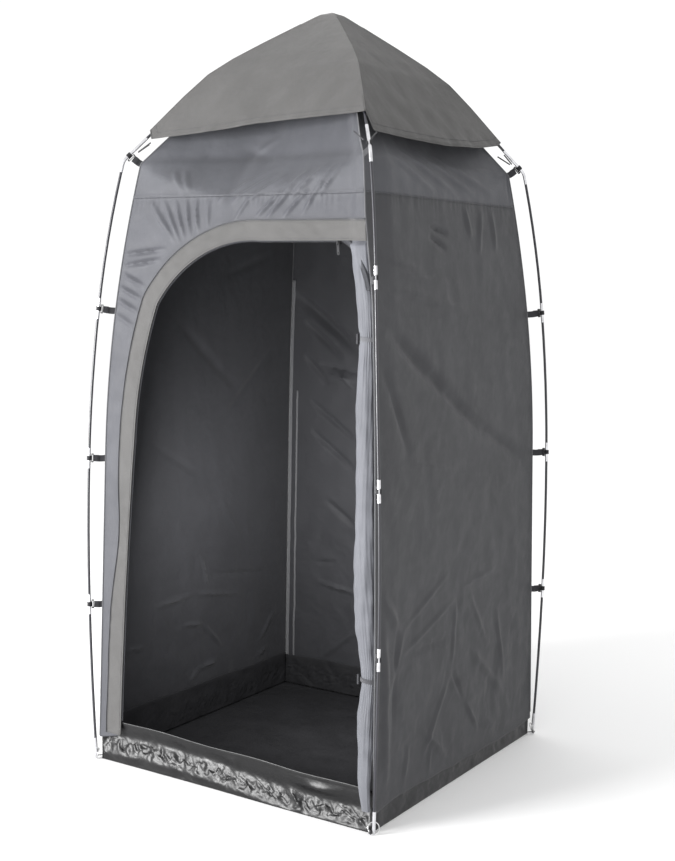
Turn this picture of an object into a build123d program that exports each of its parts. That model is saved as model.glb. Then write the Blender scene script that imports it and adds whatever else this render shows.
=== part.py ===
"""Privacy shower tent: two crossing jointed poles, an inner tent hung from them by webbing straps,
a tub groundsheet, a rolled-up arch door with its zip, and a separate roof fly.

The frame is right-handed and in millimetres: the ground is z = 0 under the middle of the tent,
+Z is up, the door faces -Y and the pole feet stand at the corners of a square.
"""
from build123d import *
from math import atan, cos, degrees, radians, sin, sqrt, tan
import os

os.makedirs("parts", exist_ok=True)

# ---------------------------------------------------------------- driving dimensions
ROOT_2 = sqrt(2.0)
CORNERS = {"front_left": 225.0, "front_right": 315.0, "back_right": 45.0, "back_left": 135.0}

# Legs: half side of the square through the four legs, and the height, at five places
FOOT_HALF = 500.0
LEG_LINE = [(FOOT_HALF, 12.0), (513.0, 487.0), (512.0, 934.0), (490.5, 1380.0), (443.0, 1780.0)]
LOW_JOINT = 487.0
MIDDLE_JOINT = 934.0
HIGH_JOINT = {"front_left": 1380.0, "front_right": 1483.0, "back_right": 1380.0, "back_left": 1483.0}
SHOULDER_LEAN = {"front_left": 0.0, "front_right": 20.0, "back_right": 0.0, "back_left": 0.0}
LEAN_START = 487.0

# Roof: where the roof rods bend, and where they meet
ELBOW_BELOW_BEND = 35.0
ELBOW_ABOVE_BEND = 95.0
ELBOW_RADIUS = 45.0
ROOF_BEND_HALF = 245.0
ROOF_BEND_HEIGHT = 2081.0
ROOF_BEND_ARM = 40.0
ROOF_BEND_RADIUS = 160.0
APEX_HEIGHT = {"upper": 2271.0, "lower": 2260.0}
APEX_ARM = 90.0
APEX_RADIUS = 80.0
ROD_IN_ELBOW = 30.0
ROD_IN_BEND = 15.0

# Tube sections
ROD_RADIUS = 4.0
ROD_BORE = 2.2
SLEEVE_RADIUS = 4.8
SLEEVE_BORE = 4.2
FERRULE_LENGTH = 61.0
JOINT_GAP = 0.5
CORD_RADIUS = 1.3

# Pole foot: tip, pin and ring
TIP_LENGTH = 56.0
TIP_HOLLOW = 28.0
RING_WIRE = 1.5
RING_RADIUS = 15.5
RING_AXIS_HEIGHT = 4.6
RING_TILT = 14.0
PIN_RADIUS = 3.0
PIN_BELOW_FOOT = 5.0
PIN_LENGTH = 29.0
EYE_RADIUS = 4.0
EYE_BORE = 1.9
EYE_WIDTH = 5.0
TAB_ANGLE = 36.0
TAB_BORE = 3.0
TAB_THICK = 1.2
TAB_WIDTH = 7.0
TAIL_WIDTH = 6.0
TAIL_START = 3.6

# Inner tent: half side of its walls, which stand upright and then curve in to the shoulder
CLOTH = 1.2
WALL_BOTTOM = (492.0, 70.0)
WALL_MIDDLE = (477.0, 950.0)
WALL_TOP = (402.0, 1805.0)
ROOF_DROP = 45.0
ROOF_PATCH_HALF = 22.0
ROOF_PATCH_RISE = 8.0
TIE_OVER_APEX = 1.9
TIE_OVER_PATCH = 0.3
APEX_TIE_WIDTH = 31.0
APEX_TIE_THICK = 1.3
APEX_TIE_CORNER = 9.0
APEX_TIE_HALF = 6.0
REACH = 620.0

# Groundsheet tub
TUB_HALF = 488.0
TUB_HEIGHT = 130.0
TUB_THICK = 1.2

# Doorway in the front wall, as X and Z
DOOR_LEFT_FOOT = (-408.0, 60.0)
DOOR_LEFT_LOW = (-391.0, 560.0)
DOOR_LEFT_WAIST = (-363.0, 1000.0)
DOOR_LEFT_HIGH = (-339.0, 1219.0)
DOOR_SPRING = (-295.0, 1398.0)
DOOR_ARCH = (-165.0, 1527.0)
DOOR_ARCH_END = (60.0, 1580.0)
DOOR_TOP_HEIGHT = 1580.0
DOOR_TOP_RIGHT = 330.0
DOOR_CORNER = (395.0, 1530.0)
DOOR_RIGHT_TOP = 1440.0
DOOR_RIGHT_MARGIN = 14.0
FACING_WIDTH = 57.0
FACING_THICK = 1.1
FACING_END_RISE = 1.0
# A grown doorway outline moves each of these points by these shares of the growth, out and up
GROW_SHARES = {"high": (1.0, 0.1), "spring": (0.96, 0.5), "arch": (0.5, 0.87)}
ZIP_HEIGHT = 1576.0
ZIP_TAPE = 1.0
ZIP_HIDDEN = 10.0
ZIP_SHOWN = 4.0
SLIDER_X = 318.0
SLIDER_LENGTH = 12.0
SLIDER_HEIGHT = 9.0
SLIDER_DROP = 1.4
SLIDER_FRONT = 4.6
SLIDER_BACK = 2.6
SLIDER_CORNER = 2.0
TRACK_BACK = 1.2
TRACK_DEPTH = 3.4
TRACK_FLOOR = 3.0
TRACK_RISE = 12.0
STAPLE_HEIGHT = 3.8
STAPLE_BAR = 1.2
STAPLE_WIDTH = 3.0
STAPLE_POSTS = (-4.6, 2.2)
PULL_TOP = 0.8
PULL_LENGTH = 34.0
PULL_WIDTH = 8.0
PULL_THICK = 1.4
PULL_CORNER = 1.5
PULL_SLOT = (4.2, 6.8)
PULL_SLOT_DROP = 2.6
PULL_HOLE_RADIUS = 1.8
PULL_HOLE_RISE = 5.0

# Rolled door: height, half width in X and half depth in Y of its bundle, and how far in it hangs
ROLL_SECTIONS = [
    (62.0, 7.0, 6.0, -3.5),
    (135.0, 12.0, 8.5, -6.5),
    (215.0, 16.0, 14.0, 5.0),
    (300.0, 20.0, 19.0, 14.0),
    (415.0, 15.0, 14.0, 16.0),
    (560.0, 25.0, 22.0, 16.0),
    (950.0, 26.0, 23.0, 16.0),
    (1200.0, 26.0, 22.0, 18.0),
    (1322.0, 21.0, 16.0, 19.0),
    (1430.0, 26.0, 16.0, 21.0),
    (1562.0, 32.0, 13.0, 20.0),
]
ROLL_GAP = 3.0
TIE_HEIGHTS = {"lower": 415.0, "upper": 1322.0}
TIE_GAP = 0.9
TIE_THICK = 1.8
TIE_WIDTH = 12.0
TOGGLE_GAP = 0.4
TOGGLE_ANGLE = 215.0
TOGGLE_RADIUS = 4.0
TOGGLE_LENGTH = 28.0
TOGGLE_STEM = 1.4
TOGGLE_STEM_LENGTH = 7.0
TOGGLE_ROUND = 1.5

# Webbing straps and their clips
STRAP_WIDTH = 20.0
STRAP_THICK = 1.6
CLIP_WIDTH = 13.0
CLIP_RADIUS = 7.6
CLIP_BORE = 4.95
CLIP_MOUTH = 7.2
CLIP_BAR_START = 6.6
CLIP_BAR_END = 13.0
CLIP_BAR_LENGTH = 26.0
CLIP_BAR_THICK = 6.4
CLIP_SLOT = (21.0, 2.4)
CLIP_SLOT_EDGE = 2.0
STRAP_GAP = 0.3
SHOULDER_STRAP_ABOVE_BEND = 22.0

# Roof fly
FLY_EDGE = 1868.0
FLY_OUTSIDE = 9.2
FLY_INSIDE = 7.8
FLY_CORNER_CUT = 770.0
FLY_PEAK_HALF = 4.0
PEAK_SHARES = (1.0, 0.66, 0.33)
ELASTIC_RADIUS = 2.0
ELASTIC_SIDE = 8.3
ELASTIC_FROM_POLE = 20.0
ELASTIC_OVER_STRAP = 13.0
ELASTIC_UNDER_FLY = 3.0


# ---------------------------------------------------------------- places on the tent
def leg_half_side(height):
    """Half side of the square through the four legs: one smooth curve through LEG_LINE."""
    total = 0.0
    for i, (half, at) in enumerate(LEG_LINE):
        weight = 1.0
        for j, (_, other) in enumerate(LEG_LINE):
            if j != i:
                weight *= (height - other) / (at - other)
        total += half * weight
    return total


def wall_half_side(height):
    """Half side of the inner tent's outer face: straight, then an arc that curves in."""
    slope = (WALL_MIDDLE[0] - WALL_BOTTOM[0]) / (WALL_MIDDLE[1] - WALL_BOTTOM[1])
    rise = height - WALL_MIDDLE[1]
    if rise <= 0:
        return WALL_MIDDLE[0] + slope * rise
    full = WALL_TOP[1] - WALL_MIDDLE[1]
    curve = (WALL_TOP[0] - WALL_MIDDLE[0] - slope * full) / full**2
    return WALL_MIDDLE[0] + slope * rise + curve * rise**2


def outward(corner):
    """Level unit vector from the middle of the tent to a corner."""
    angle = radians(CORNERS[corner])
    return Vector(cos(angle), sin(angle), 0)


def sideways(corner):
    """Level unit vector square to the diagonal, clockwise seen from above."""
    return outward(corner).cross(Vector(0, 0, 1))


def lean(corner, height):
    """How far a leg stands beside its diagonal: none at its foot, most at the shoulder."""
    shoulder = LEG_LINE[-1][1]
    share = 0.0
    if LEAN_START < height <= shoulder:
        share = (height - LEAN_START) / (shoulder - LEAN_START)
    return SHOULDER_LEAN[corner] * share


def pole_point(corner, half_side, height):
    """A point of a pole, from the half side of its square and its height."""
    spot = outward(corner) * (half_side * ROOT_2) + sideways(corner) * lean(corner, height)
    return Vector(spot.X, spot.Y, height)


def leg_joints(corner):
    """Heights where one leg rod ends and the next one starts, from the ground up."""
    return [LEG_LINE[0][1], LOW_JOINT, MIDDLE_JOINT, HIGH_JOINT[corner], LEG_LINE[-1][1]]


def leg_arcs(corner):
    """The four arcs of a leg, each one leaving the arc below it in line."""
    heights = leg_joints(corner)
    step = 1.0
    foot = heights[0]
    rise = leg_half_side(foot + step) - leg_half_side(foot)
    direction = outward(corner) * (rise * ROOT_2) + Vector(0, 0, step)
    arcs = []
    for low, high in zip(heights, heights[1:]):
        start = pole_point(corner, leg_half_side(low), low)
        end = pole_point(corner, leg_half_side(high), high)
        with BuildLine(mode=Mode.PRIVATE) as section:
            TangentArc(start, end, tangent=direction)
        arcs.append(section.line.edges()[0])
        direction = arcs[-1] % 1
    return arcs


def pole_layout(corner):
    """Named places on a corner's pole from the top of its leg to the apex."""
    arcs = leg_arcs(corner)
    top = arcs[-1] @ 1
    bend = top + (arcs[-1] % 1) * ELBOW_BELOW_BEND
    kink = pole_point(corner, ROOF_BEND_HALF, ROOF_BEND_HEIGHT)
    level = "upper" if corner in ("front_right", "back_left") else "lower"
    apex = Vector(0, 0, APEX_HEIGHT[level])
    return {
        "leg_top": top,
        "bend": bend,
        "elbow_end": bend + (kink - bend).normalized() * ELBOW_ABOVE_BEND,
        "kink_low": kink + (bend - kink).normalized() * ROOF_BEND_ARM,
        "kink": kink,
        "kink_high": kink + (apex - kink).normalized() * ROOF_BEND_ARM,
        "apex_arm": apex + (kink - apex).normalized() * APEX_ARM,
        "apex": apex,
    }


ARCS = {corner: leg_arcs(corner) for corner in CORNERS}
LAYOUT = {corner: pole_layout(corner) for corner in CORNERS}


# ---------------------------------------------------------------- shared shapes
def save(part, label):
    """Label a finished piece and write its STEP file."""
    part.part.label = label
    export_step(part.part, f"parts/{label}.step")


def straight(start, end):
    """A straight path."""
    with BuildLine(mode=Mode.PRIVATE) as path:
        Line(start, end)
    return path.line.edges()


def bent(start, corner_point, end, radius):
    """A path of two straight runs joined by an arc."""
    first = (corner_point - start).normalized()
    second = (end - corner_point).normalized()
    half_turn = radians(first.get_angle(second) / 2)
    inward = (second - first).normalized()
    back = radius * tan(half_turn)
    before = corner_point - first * back
    after = corner_point + second * back
    middle = corner_point + inward * (radius / cos(half_turn) - radius)
    with BuildLine(mode=Mode.PRIVATE) as path:
        Line(start, before)
        ThreePointArc(before, middle, after)
        Line(after, end)
    return path.line.edges()


def tube(edges, radius, bore=0.0):
    """Sweep a round section along a path, in the open part."""
    with BuildLine(mode=Mode.PRIVATE) as path:
        add(edges)
    wire = path.line
    with BuildSketch(Plane(origin=wire @ 0, z_dir=wire % 0)) as section:
        Circle(radius)
        if bore:
            Circle(bore, mode=Mode.SUBTRACT)
    sweep(section.sketch, path=wire)


def square_form(outline_points):
    """A solid whose level sections are all squares, from half sides and heights up its outline."""
    right = list(outline_points)
    left = [(-half, height) for half, height in reversed(right)]
    for plane, mode in ((Plane.XZ, Mode.ADD), (Plane.YZ, Mode.INTERSECT)):
        with BuildSketch(plane) as outline:
            with BuildLine():
                Polyline(*right, *left, close=True)
            make_face()
        extrude(outline.sketch, amount=REACH, both=True, mode=mode)


def roof_lean(corner, height):
    """How far a roof rod stands beside its diagonal at a height."""
    bend, kink = LAYOUT[corner]["bend"], LAYOUT[corner]["kink"]
    share = max(0.0, (kink.Z - height) / (kink.Z - bend.Z))
    return bend.dot(sideways(corner)) * share


def leaning_form(outline_points):
    """A solid with four-cornered level sections whose corners stand over the roof rods."""
    sections = []
    for half, height in outline_points:
        spots = []
        for corner in CORNERS:
            spots.append(outward(corner) * (half * ROOT_2) + sideways(corner) * roof_lean(corner, height))
        with BuildSketch(Plane.XY.offset(height)) as section:
            Polygon(*[(spot.X, spot.Y) for spot in spots], align=None)
        sections.append(section.sketch)
    loft(sections, ruled=True)


def wall_slab(outer, inner):
    """A front-facing wall slab between two offsets from the wall's outer face, in the open part."""
    with BuildSketch(Plane.YZ) as profile:
        with BuildLine():
            for offset in (outer, inner):
                bottom = (-WALL_BOTTOM[0] - offset, WALL_BOTTOM[1])
                middle = (-WALL_MIDDLE[0] - offset, WALL_MIDDLE[1])
                top = (-WALL_TOP[0] - offset, WALL_TOP[1])
                upright = Line(bottom, middle)
                TangentArc(middle, top, tangent=upright % 1)
            Line((-WALL_BOTTOM[0] - outer, WALL_BOTTOM[1]), (-WALL_BOTTOM[0] - inner, WALL_BOTTOM[1]))
            Line((-WALL_TOP[0] - outer, WALL_TOP[1]), (-WALL_TOP[0] - inner, WALL_TOP[1]))
        make_face()
    extrude(profile.sketch, amount=REACH, both=True)


def keep_front_quarter():
    """Mitre the open part along both diagonals, so that only its front quarter stays."""
    with BuildSketch(Plane.XY) as quarter:
        Polygon((0, 0), (-REACH, -REACH), (REACH, -REACH), align=None)
    extrude(quarter.sketch, amount=2 * WALL_TOP[1], mode=Mode.INTERSECT)


def door_right_edge(height):
    """Where the doorway's right edge stands at a height."""
    return wall_half_side(height) - DOOR_RIGHT_MARGIN


def doorway_outline(grow=0.0):
    """The doorway's face on Plane.XZ, grown by a margin on its left and top."""
    left_foot = (DOOR_LEFT_FOOT[0] - grow, DOOR_LEFT_FOOT[1])
    low = (DOOR_LEFT_LOW[0] - grow, DOOR_LEFT_LOW[1])
    waist = (DOOR_LEFT_WAIST[0] - grow, DOOR_LEFT_WAIST[1])
    moved = {}
    for name, point in {"high": DOOR_LEFT_HIGH, "spring": DOOR_SPRING, "arch": DOOR_ARCH}.items():
        out, up = GROW_SHARES[name]
        moved[name] = (point[0] - out * grow, point[1] + up * grow)
    arch_end = (DOOR_ARCH_END[0], DOOR_ARCH_END[1] + grow)
    top_right = (DOOR_TOP_RIGHT, DOOR_TOP_HEIGHT + grow)
    corner = (DOOR_CORNER[0], DOOR_CORNER[1] + grow)
    right_top = (door_right_edge(DOOR_RIGHT_TOP), DOOR_RIGHT_TOP + grow)
    right_foot = (door_right_edge(DOOR_LEFT_FOOT[1]), DOOR_LEFT_FOOT[1])
    with BuildSketch(Plane.XZ) as outline:
        with BuildLine():
            ThreePointArc(left_foot, low, waist)
            ThreePointArc(waist, moved["high"], moved["spring"])
            ThreePointArc(moved["spring"], moved["arch"], arch_end)
            Line(arch_end, top_right)
            ThreePointArc(top_right, corner, right_top)
            Line(right_top, (door_right_edge(WALL_MIDDLE[1]), WALL_MIDDLE[1]))
            Line((door_right_edge(WALL_MIDDLE[1]), WALL_MIDDLE[1]), right_foot)
            Line(right_foot, left_foot)
        make_face()
    return outline.sketch


# ---------------------------------------------------------------- poles
for corner, place in LAYOUT.items():
    arcs = ARCS[corner]
    with BuildPart() as leg_rods:
        for arc in arcs:
            below = TIP_HOLLOW if arc is arcs[0] else JOINT_GAP
            if arc is arcs[-1]:
                tip = (arc @ 1) + (arc % 1) * ROD_IN_BEND
                upper_rod = [arc.trim(below / arc.length, 1.0)] + list(straight(arc @ 1, tip))
                tube(upper_rod, ROD_RADIUS, ROD_BORE)
            else:
                tube([arc.trim(below / arc.length, 1 - JOINT_GAP / arc.length)], ROD_RADIUS, ROD_BORE)
    save(leg_rods, f"leg_rods_{corner}")

    with BuildPart() as ferrules:
        for arc in arcs[:-1]:
            half = (arc % 1) * (FERRULE_LENGTH / 2)
            tube(straight(arc @ 1 - half, arc @ 1 + half), SLEEVE_RADIUS, SLEEVE_BORE)
    save(ferrules, f"ferrules_{corner}")

    with BuildPart() as shoulder_elbow:
        run = bent(place["leg_top"], place["bend"], place["elbow_end"], ELBOW_RADIUS)
        tube(run, SLEEVE_RADIUS, SLEEVE_BORE)
    save(shoulder_elbow, f"shoulder_elbow_{corner}")

    with BuildPart() as roof_bend_tube:
        run = bent(place["kink_low"], place["kink"], place["kink_high"], ROOF_BEND_RADIUS)
        tube(run, SLEEVE_RADIUS, SLEEVE_BORE)
    save(roof_bend_tube, f"roof_bend_tube_{corner}")

    with BuildPart() as roof_rods:
        up = (place["kink"] - place["bend"]).normalized()
        start = place["elbow_end"] - up * ROD_IN_ELBOW
        tube(straight(start, place["kink_low"] + up * ROD_IN_BEND), ROD_RADIUS, ROD_BORE)
        over = (place["apex"] - place["kink"]).normalized()
        end = place["apex_arm"] + over * ROD_IN_ELBOW
        tube(straight(place["kink_high"] - over * ROD_IN_BEND, end), ROD_RADIUS, ROD_BORE)
    save(roof_rods, f"roof_rods_{corner}")

for level, ends in {"lower": ("front_left", "back_right"), "upper": ("front_right", "back_left")}.items():
    with BuildPart() as apex_elbow:
        near, far = LAYOUT[ends[0]], LAYOUT[ends[1]]
        run = bent(near["apex_arm"], near["apex"], far["apex_arm"], APEX_RADIUS)
        tube(run, SLEEVE_RADIUS, SLEEVE_BORE)
    save(apex_elbow, f"apex_elbow_{level}")

    with BuildPart() as shock_cord:
        spans = []
        for end in ends:
            place = LAYOUT[end]
            first = ARCS[end][0]
            spans += [first.trim(TIP_HOLLOW / first.length, 1.0)]
            spans += ARCS[end][1:]
            spans += bent(place["leg_top"], place["bend"], place["elbow_end"], ELBOW_RADIUS)
            spans += straight(place["elbow_end"], place["kink_low"])
            spans += bent(place["kink_low"], place["kink"], place["kink_high"], ROOF_BEND_RADIUS)
            spans += straight(place["kink_high"], place["apex_arm"])
        spans += bent(near["apex_arm"], near["apex"], far["apex_arm"], APEX_RADIUS)
        wire = Wire(spans)
        with BuildSketch(Plane(origin=wire @ 0, z_dir=wire % 0)):
            Circle(CORD_RADIUS)
        sweep(path=wire)
    save(shock_cord, f"shock_cord_{level}_pole")

# ---------------------------------------------------------------- pole feet
with BuildPart() as pole_tips:
    for corner in CORNERS:
        first = ARCS[corner][0]
        tube(straight(first @ 0, first @ 0 + (first % 0) * TIP_LENGTH), SLEEVE_RADIUS, SLEEVE_BORE)
save(pole_tips, "pole_tips")

with BuildPart() as foot_pins:
    for corner in CORNERS:
        first = ARCS[corner][0]
        leg = first % 0
        with BuildSketch(Plane(origin=first @ 0 - leg * PIN_BELOW_FOOT, z_dir=leg)):
            Circle(PIN_RADIUS)
        extrude(amount=PIN_LENGTH)
        axis_point = Vector((first @ 0).X, (first @ 0).Y, RING_AXIS_HEIGHT)
        eye = Plane(origin=axis_point - sideways(corner) * (EYE_WIDTH / 2), z_dir=sideways(corner))
        with BuildSketch(eye):
            Circle(EYE_RADIUS)
        extrude(amount=EYE_WIDTH)
        with BuildSketch(eye):
            Circle(EYE_BORE)
        extrude(amount=EYE_WIDTH, mode=Mode.SUBTRACT)
save(foot_pins, "foot_pins")


def ring_plane(corner):
    """The plane of a corner ring: its centre, with its normal leaning back from the diagonal."""
    foot = ARCS[corner][0] @ 0
    up = Vector(0, 0, 1) * cos(radians(RING_TILT)) - outward(corner) * sin(radians(RING_TILT))
    centre = Vector(foot.X, foot.Y, RING_AXIS_HEIGHT) + up * RING_RADIUS
    return Plane(origin=centre, x_dir=sideways(corner), z_dir=sideways(corner).cross(up))


for corner in CORNERS:
    with BuildPart() as corner_ring:
        plane = ring_plane(corner)
        with BuildLine(plane, mode=Mode.PRIVATE) as hoop:
            CenterArc((0, 0), RING_RADIUS, 0, 360)
        with BuildSketch(Plane(origin=hoop.line @ 0, z_dir=hoop.line % 0)):
            Circle(RING_WIRE)
        sweep(path=hoop.line)
    save(corner_ring, f"corner_ring_{corner}")

with BuildPart() as ring_tabs:
    for corner in CORNERS:
        plane = ring_plane(corner)
        turn = radians(TAB_ANGLE - 90.0)
        spot = plane.from_local_coords(Vector(RING_RADIUS * cos(turn), RING_RADIUS * sin(turn), 0))
        along = plane.from_local_coords(Vector(-sin(turn), cos(turn), 0)) - plane.origin
        loop = Plane(origin=spot - along * (TAB_WIDTH / 2), z_dir=along)
        near_side = abs(spot.dot(sideways(corner))) - TAIL_WIDTH / 2
        reach = spot.dot(outward(corner)) - (TUB_HALF * ROOT_2 - near_side) - STRAP_GAP
        inward = outward(corner) * -1
        with BuildSketch(Plane(origin=spot, x_dir=inward, z_dir=(0, 0, 1))):
            with Locations((TAIL_START, 0)):
                Rectangle(reach - TAIL_START, TAIL_WIDTH, align=(Align.MIN, Align.CENTER))
        extrude(amount=TAB_THICK)
        with BuildSketch(loop):
            Circle(TAB_BORE + TAB_THICK)
        extrude(amount=TAB_WIDTH)
        with BuildSketch(loop):
            Circle(TAB_BORE)
        extrude(amount=TAB_WIDTH, mode=Mode.SUBTRACT)
save(ring_tabs, "ring_tabs")

# ---------------------------------------------------------------- groundsheet
with BuildPart() as groundsheet:
    with BuildSketch(Plane.XY):
        Rectangle(2 * TUB_HALF, 2 * TUB_HALF)
    extrude(amount=TUB_HEIGHT)
    with BuildSketch(Plane.XY.offset(TUB_THICK)):
        Rectangle(2 * (TUB_HALF - TUB_THICK), 2 * (TUB_HALF - TUB_THICK))
    extrude(amount=TUB_HEIGHT, mode=Mode.SUBTRACT)
save(groundsheet, "groundsheet")

# ---------------------------------------------------------------- inner tent
with BuildPart() as front_wall:
    wall_slab(0, -CLOTH)
    keep_front_quarter()
    extrude(doorway_outline(), amount=REACH, mode=Mode.SUBTRACT)
save(front_wall, "front_wall")

for name, turn in {"right_wall": 90, "back_wall": 180, "left_wall": 270}.items():
    with BuildPart() as panel:
        wall_slab(0, -CLOTH)
        keep_front_quarter()
    with BuildPart() as side_wall:
        add(panel.part, rotation=(0, 0, turn))
    save(side_wall, name)


def offset_outline(distance, edge_height, peak_half):
    """Roof outline at a distance outside the upper pole's line: edge, bend, and a rounded peak."""
    bend = LAYOUT["back_left"]["bend"]
    low = Vector(Vector(bend.X, bend.Y, 0).length, bend.Z)
    kink = Vector(ROOF_BEND_HALF * ROOT_2, ROOF_BEND_HEIGHT)
    apex = Vector(0, APEX_HEIGHT["upper"])
    lower_run = (kink - low).normalized()
    upper_run = (apex - kink).normalized()
    lower_out = Vector(lower_run.Y, -lower_run.X)
    upper_out = Vector(upper_run.Y, -upper_run.X)
    kink_out = kink + (lower_out + upper_out) * (distance / (1 + lower_out.dot(upper_out)))
    edge = kink_out - lower_run * ((kink_out.Y - edge_height) / lower_run.Y)
    centre = apex.Y - APEX_RADIUS / upper_out.Y
    radius = APEX_RADIUS + distance
    points = [(edge.X / ROOT_2, edge.Y), (kink_out.X / ROOT_2, kink_out.Y)]
    full_turn = degrees(atan(upper_out.X / upper_out.Y))
    for share in PEAK_SHARES:
        angle = radians(full_turn * share)
        points.append((radius * sin(angle) / ROOT_2, centre + radius * cos(angle)))
    points.append((peak_half, centre + radius))
    return points


roof_outside = [WALL_TOP] + offset_outline(-ROOF_DROP, WALL_TOP[1], 0.0)[1:3]
roof_outside.append((ROOF_PATCH_HALF, roof_outside[-1][1] + ROOF_PATCH_RISE))
roof_inside = [(WALL_TOP[0] - CLOTH, WALL_TOP[1])]
roof_inside += [(half - CLOTH, height - CLOTH / 2) for half, height in roof_outside[1:]]
with BuildPart() as roof_hollow:
    square_form(roof_inside)

with BuildPart() as inner_roof:
    square_form(roof_outside)
    add(roof_hollow.part, mode=Mode.SUBTRACT)
save(inner_roof, "inner_roof")

with BuildPart() as apex_tie:
    top = offset_outline(SLEEVE_RADIUS + TIE_OVER_APEX, FLY_EDGE, 0.0)[-1][1]
    bottom = roof_outside[-1][1] + TIE_OVER_PATCH
    with BuildSketch(Plane.XZ):
        with Locations((0, (top + bottom) / 2)):
            width, height = APEX_TIE_WIDTH, top - bottom
            RectangleRounded(width, height, APEX_TIE_CORNER)
            width -= 2 * APEX_TIE_THICK
            height -= 2 * APEX_TIE_THICK
            RectangleRounded(width, height, APEX_TIE_CORNER - APEX_TIE_THICK, mode=Mode.SUBTRACT)
    extrude(amount=APEX_TIE_HALF, both=True)
save(apex_tie, "apex_tie")

# ---------------------------------------------------------------- doorway facing and zip
with BuildPart() as arch_facing:
    wall_slab(FACING_THICK, 0.0)
    keep_front_quarter()
    extrude(doorway_outline(FACING_WIDTH), amount=REACH, mode=Mode.INTERSECT)
    extrude(doorway_outline(), amount=REACH, mode=Mode.SUBTRACT)
    with BuildSketch(Plane.XZ):
        with Locations((door_right_edge(DOOR_TOP_HEIGHT), 0)):
            Rectangle(REACH, 2 * DOOR_TOP_HEIGHT, align=(Align.MIN, Align.MIN))
        Rectangle(REACH, DOOR_TOP_HEIGHT - FACING_END_RISE, align=(Align.MIN, Align.MIN))
    extrude(amount=REACH, mode=Mode.SUBTRACT)
save(arch_facing, "door_arch_facing")

with BuildPart() as zip_chain:
    wall_slab(-CLOTH, -CLOTH - ZIP_TAPE)
    keep_front_quarter()
    extrude(doorway_outline(ZIP_HIDDEN), amount=REACH, mode=Mode.INTERSECT)
    extrude(doorway_outline(-ZIP_SHOWN), amount=REACH, mode=Mode.SUBTRACT)
    with BuildSketch(Plane.XZ):
        with Locations((DOOR_TOP_RIGHT, 0)):
            Rectangle(REACH, 2 * DOOR_TOP_HEIGHT, align=(Align.MIN, Align.MIN))
        Rectangle(REACH, ZIP_HEIGHT - ZIP_TAPE, align=(Align.MIN, Align.MIN))
        with Locations((-REACH, 0)):
            Rectangle(2 * REACH, TUB_HEIGHT + ZIP_SHOWN, align=(Align.MIN, Align.MIN))
    extrude(amount=REACH, mode=Mode.SUBTRACT)
save(zip_chain, "zip_chain")

wall_slope = wall_half_side(ZIP_HEIGHT + 1.0) - wall_half_side(ZIP_HEIGHT)
slider_plane = Plane(
    origin=(SLIDER_X, -wall_half_side(ZIP_HEIGHT) + CLOTH + ZIP_TAPE / 2, ZIP_HEIGHT),
    x_dir=(1, 0, 0),
    z_dir=(0, -1, wall_slope),
)
with BuildPart() as zip_slider:
    with BuildSketch(slider_plane.offset(-SLIDER_BACK)):
        with Locations((0, -SLIDER_DROP)):
            RectangleRounded(SLIDER_LENGTH, SLIDER_HEIGHT, SLIDER_CORNER)
    extrude(amount=SLIDER_BACK + SLIDER_FRONT)
    with BuildSketch(slider_plane.offset(-TRACK_BACK)):
        with Locations((0, -TRACK_FLOOR)):
            Rectangle(2 * SLIDER_LENGTH, TRACK_RISE, align=(Align.CENTER, Align.MIN))
    extrude(amount=TRACK_DEPTH, mode=Mode.SUBTRACT)
    with BuildSketch(slider_plane.offset(SLIDER_FRONT)):
        with Locations(*[(0, post) for post in STAPLE_POSTS]):
            Rectangle(STAPLE_WIDTH, STAPLE_BAR)
    extrude(amount=STAPLE_HEIGHT)
    with BuildSketch(slider_plane.offset(SLIDER_FRONT + STAPLE_HEIGHT)):
        with Locations((0, sum(STAPLE_POSTS) / 2)):
            Rectangle(STAPLE_WIDTH, STAPLE_POSTS[1] - STAPLE_POSTS[0] + STAPLE_BAR)
    extrude(amount=STAPLE_BAR)
save(zip_slider, "zip_slider")

with BuildPart() as zip_pull:
    with BuildSketch(slider_plane.offset(SLIDER_FRONT + STAPLE_HEIGHT / 2 - PULL_THICK / 2)):
        with Locations((0, PULL_TOP - PULL_LENGTH / 2)):
            RectangleRounded(PULL_WIDTH, PULL_LENGTH, PULL_CORNER)
        with Locations((0, PULL_TOP - PULL_SLOT_DROP)):
            Rectangle(*PULL_SLOT, align=(Align.CENTER, Align.MAX), mode=Mode.SUBTRACT)
        with Locations((0, PULL_TOP - PULL_LENGTH + PULL_HOLE_RISE)):
            Circle(PULL_HOLE_RADIUS, mode=Mode.SUBTRACT)
    extrude(amount=PULL_THICK)
save(zip_pull, "zip_pull")


# ---------------------------------------------------------------- rolled door and its ties
def roll_centre(height, half_width, setback):
    """Middle of the door bundle at a height: it hangs beside the doorway's right edge."""
    x = door_right_edge(height) - ROLL_GAP - half_width
    return Vector(x, -wall_half_side(height) + setback, height)


with BuildPart() as door_roll:
    for height, half_width, half_depth, setback in ROLL_SECTIONS:
        with BuildSketch(Plane(origin=roll_centre(height, half_width, setback), z_dir=(0, 0, 1))):
            Ellipse(half_width, half_depth)
    loft()
save(door_roll, "door_roll")

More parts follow.
